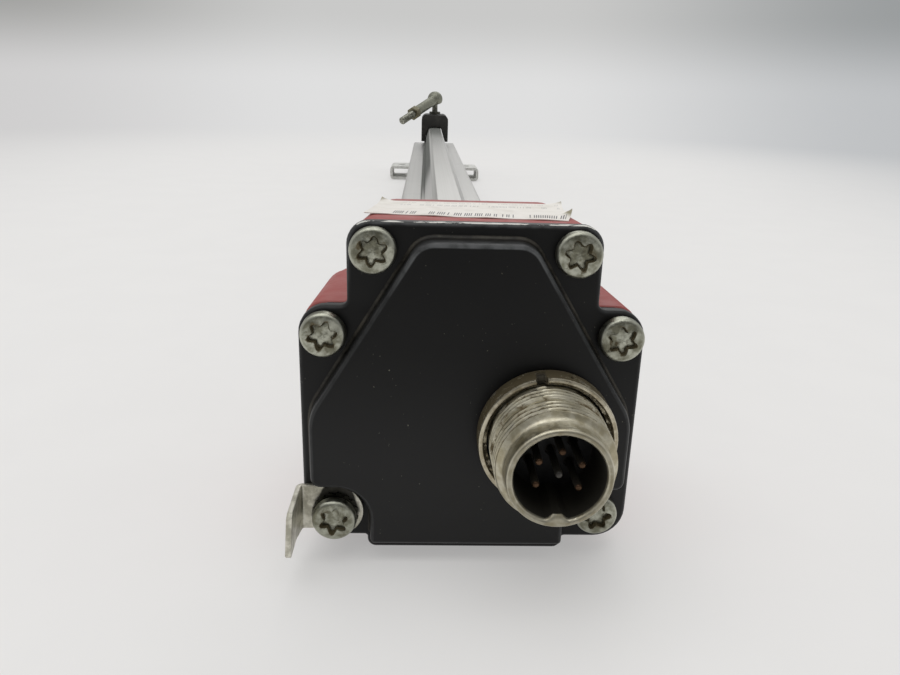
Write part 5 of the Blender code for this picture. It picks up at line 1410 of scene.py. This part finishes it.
# Slider
# A black glass-filled nylon block that runs on the guide and carries the position magnet.

slider_loop = (
    both_sides([(6.2, 26.5, 0.3), (10.6, 26.5, 0.5), (10.6, 47.0, 4.0)])
    + [(-6.2, 28.1, 0.2), (-7.6, 28.1, 0.2), (-7.6, 29.1, 0.2), (-5.3, 36.2, 0.2), (-3.9, 37.7, 0.3)]
    + [(3.9, 37.7, 0.3), (5.3, 36.2, 0.2), (7.6, 29.1, 0.2), (7.6, 28.1, 0.2), (6.2, 28.1, 0.2)]
)
# Black glass-filled nylon: a matt dark grey, paler where it is handled.
slider_nylon = moulded("slider_nylon", colour("2c2b29"), colour("4a4843"), 0.55, 0.35, 900.0)
slider_front, slider_back = 511.0, 554.0
along, insets = rolled(slider_front, slider_back, 0.12, 3)
finished(
    "slider_block",
    carried(slider_loop, along, insets, 6),
    slider_nylon,
    "slider",
    ["slider_body"],
)

# Turned steel, bare and lightly oiled: a greenish grey metal.
steel = metal("bright_steel", colour("b0b0a4"), colour("85857a"), colour("58574a"), 0.34, 0.04)
# The ball is a circle turned about the stud's axis, from its top to where it meets the stem.
ball = np.array([0.0, 532.5, 58.9])
ball_radius, stem_radius = 4.0, 2.2
angles = np.linspace(0, 2 * math.pi, 64, endpoint=False)
polar = np.linspace(0.02, math.pi - math.asin(stem_radius / ball_radius), 20)
ball_r = np.concatenate([ball_radius * np.sin(polar), [2.2, 2.3, 4.35, 4.5, 4.5, 4.4, 2.2, 2.2, 0.05]])
stem_z = [50.0, 49.15, 49.1, 48.9, 47.5, 47.3, 47.3, 42.8, 42.8]
ball_z = np.concatenate([ball[2] + ball_radius * np.cos(polar), stem_z])
stud = rings(ball_r, ball_z, angles) + ball * (1, 1, 0)
greasy = np.interp(ball_z, [50.0, 56.0], [0.75, 0.0])
finished(
    "ball_pin",
    stud,
    steel,
    "slider",
    ["ball_stud"],
    marks={"shade_and_grease": by_loop(greasy, stud)},
)


# Arm
# A zinc-plated ball socket with its shank, a threaded stud and a lock nut.
# A white plastic seat holds the ball in it.

droop, bearing = math.radians(18.0), math.radians(30.9)
level_share = math.cos(droop)
out = np.array([-math.sin(bearing) * level_share, -math.cos(bearing) * level_share, -math.sin(droop)])
side = np.cross([0.0, 0.0, 1.0], out)
side /= np.linalg.norm(side)
lift = np.cross(out, side)


def along_arm(loops):
    """The shape's own z laid along the arm from the ball's centre."""
    return ball + loops[..., :1] * side + loops[..., 1:2] * lift + loops[..., 2:] * out


def across_arm(loops):
    """The shape's own z stood up square to the arm, on the ball's centre."""
    return ball + loops[..., :1] * side + loops[..., 2:] * lift - loops[..., 1:2] * out


def hollow_ball(outside, inside, end, count):
    """Radii and heights of a turned cup: down along the outer circle and back up along the inner."""
    polar = np.linspace(0.03, end, count)
    radii = np.concatenate([outside * np.sin(polar), inside * np.sin(polar[::-1])])
    return radii, np.concatenate([outside * np.cos(polar), inside * np.cos(polar[::-1])])


# Both cups stay clear of the ball's stem, and the arm's cup also at the end of its tilt.
seat_inside, stem_room = 4.15, 2.5
cup_end = math.pi - math.asin(stem_room / seat_inside)
seat_r, seat_z = hollow_ball(4.85, seat_inside, cup_end - math.radians(4.0), 18)
finished(
    "ball_liner",
    rings(seat_r, seat_z, angles) + ball,
    white_plastic,
    "swivel",
    ["ball_seat"],
)

# Zinc-plated steel, oiled: an even greenish grey with a soft gloss.
fine = 0.00001
grey_zinc = metal(
    "grey_zinc", colour("8f9083"), colour("868779"), colour("48463a"), 0.45, 0.0,
    depth=fine, bare=0.8,
)
cup_r, cup_z = hollow_ball(6.1, 5.0, cup_end - math.radians(22.0), 20)
shank_r = np.array([3.2, 4.4, 3.95, 3.8, 3.8, 3.6, 3.3, 0.05])
shank_z = np.array([5.3, 5.3, 6.1, 7.2, 30.4, 30.8, 31.0, 31.0])
finished(
    "socket_and_shank",
    [across_arm(rings(cup_r, cup_z, angles)), along_arm(rings(shank_r, shank_z, angles))],
    grey_zinc,
    "arm",
    ["joint_socket_arm"],
)

# The stud's thread is the inlet's triangle wave, 0.5 deep.
stud_radius, thread_depth = 2.8, 0.5
reach_out = np.concatenate([[22.0], np.arange(31.05, 51.9, 0.125), [52.0, 52.5]])
phase = (reach_out[:, None] / pitch - angles / (2 * math.pi)) % 1
ridge = 1 - np.abs(2 * phase - 1)
threaded = (reach_out > 31.1) & (reach_out < 51.8)
stud_r = stud_radius - thread_depth * (1 - ridge) * threaded[:, None]
stud_r[-1] = stud_radius - thread_depth
finished(
    "threaded_stud",
    along_arm(rings(stud_r, reach_out, angles)),
    steel,
    "arm",
    ["arm_stud"],
    marks={"hollow": 0.3 * (stud_radius - stud_r) / thread_depth},
)

# A hexagon is 4.5 over the cosine of the angle from its nearest flat, and a chamfer cuts its corners.
flats = 4.5 / np.cos((angles + math.pi / 6) % (math.pi / 3) - math.pi / 6)
hole, chamfer, side_wall = np.full(64, 3.0), np.minimum(flats, 4.55), np.minimum(flats, 5.15)
nut_r = np.stack([hole, chamfer, side_wall, side_wall, chamfer, hole])
nut_z = [31.3, 31.3, 31.65, 35.95, 36.3, 36.3]
# Zinc plating passivated yellow: a dull brownish metal.
yellow_zinc = metal(
    "yellowed_zinc", colour("7d7861"), colour("666150"), colour("3f3929"), 0.45, 0.0,
    depth=fine, bare=0.8,
)
finished(
    "lock_nut",
    along_arm(rings(nut_r, nut_z, angles)),
    yellow_zinc,
    "arm",
    ["arm_lock_nut"],
    ring=True,
)
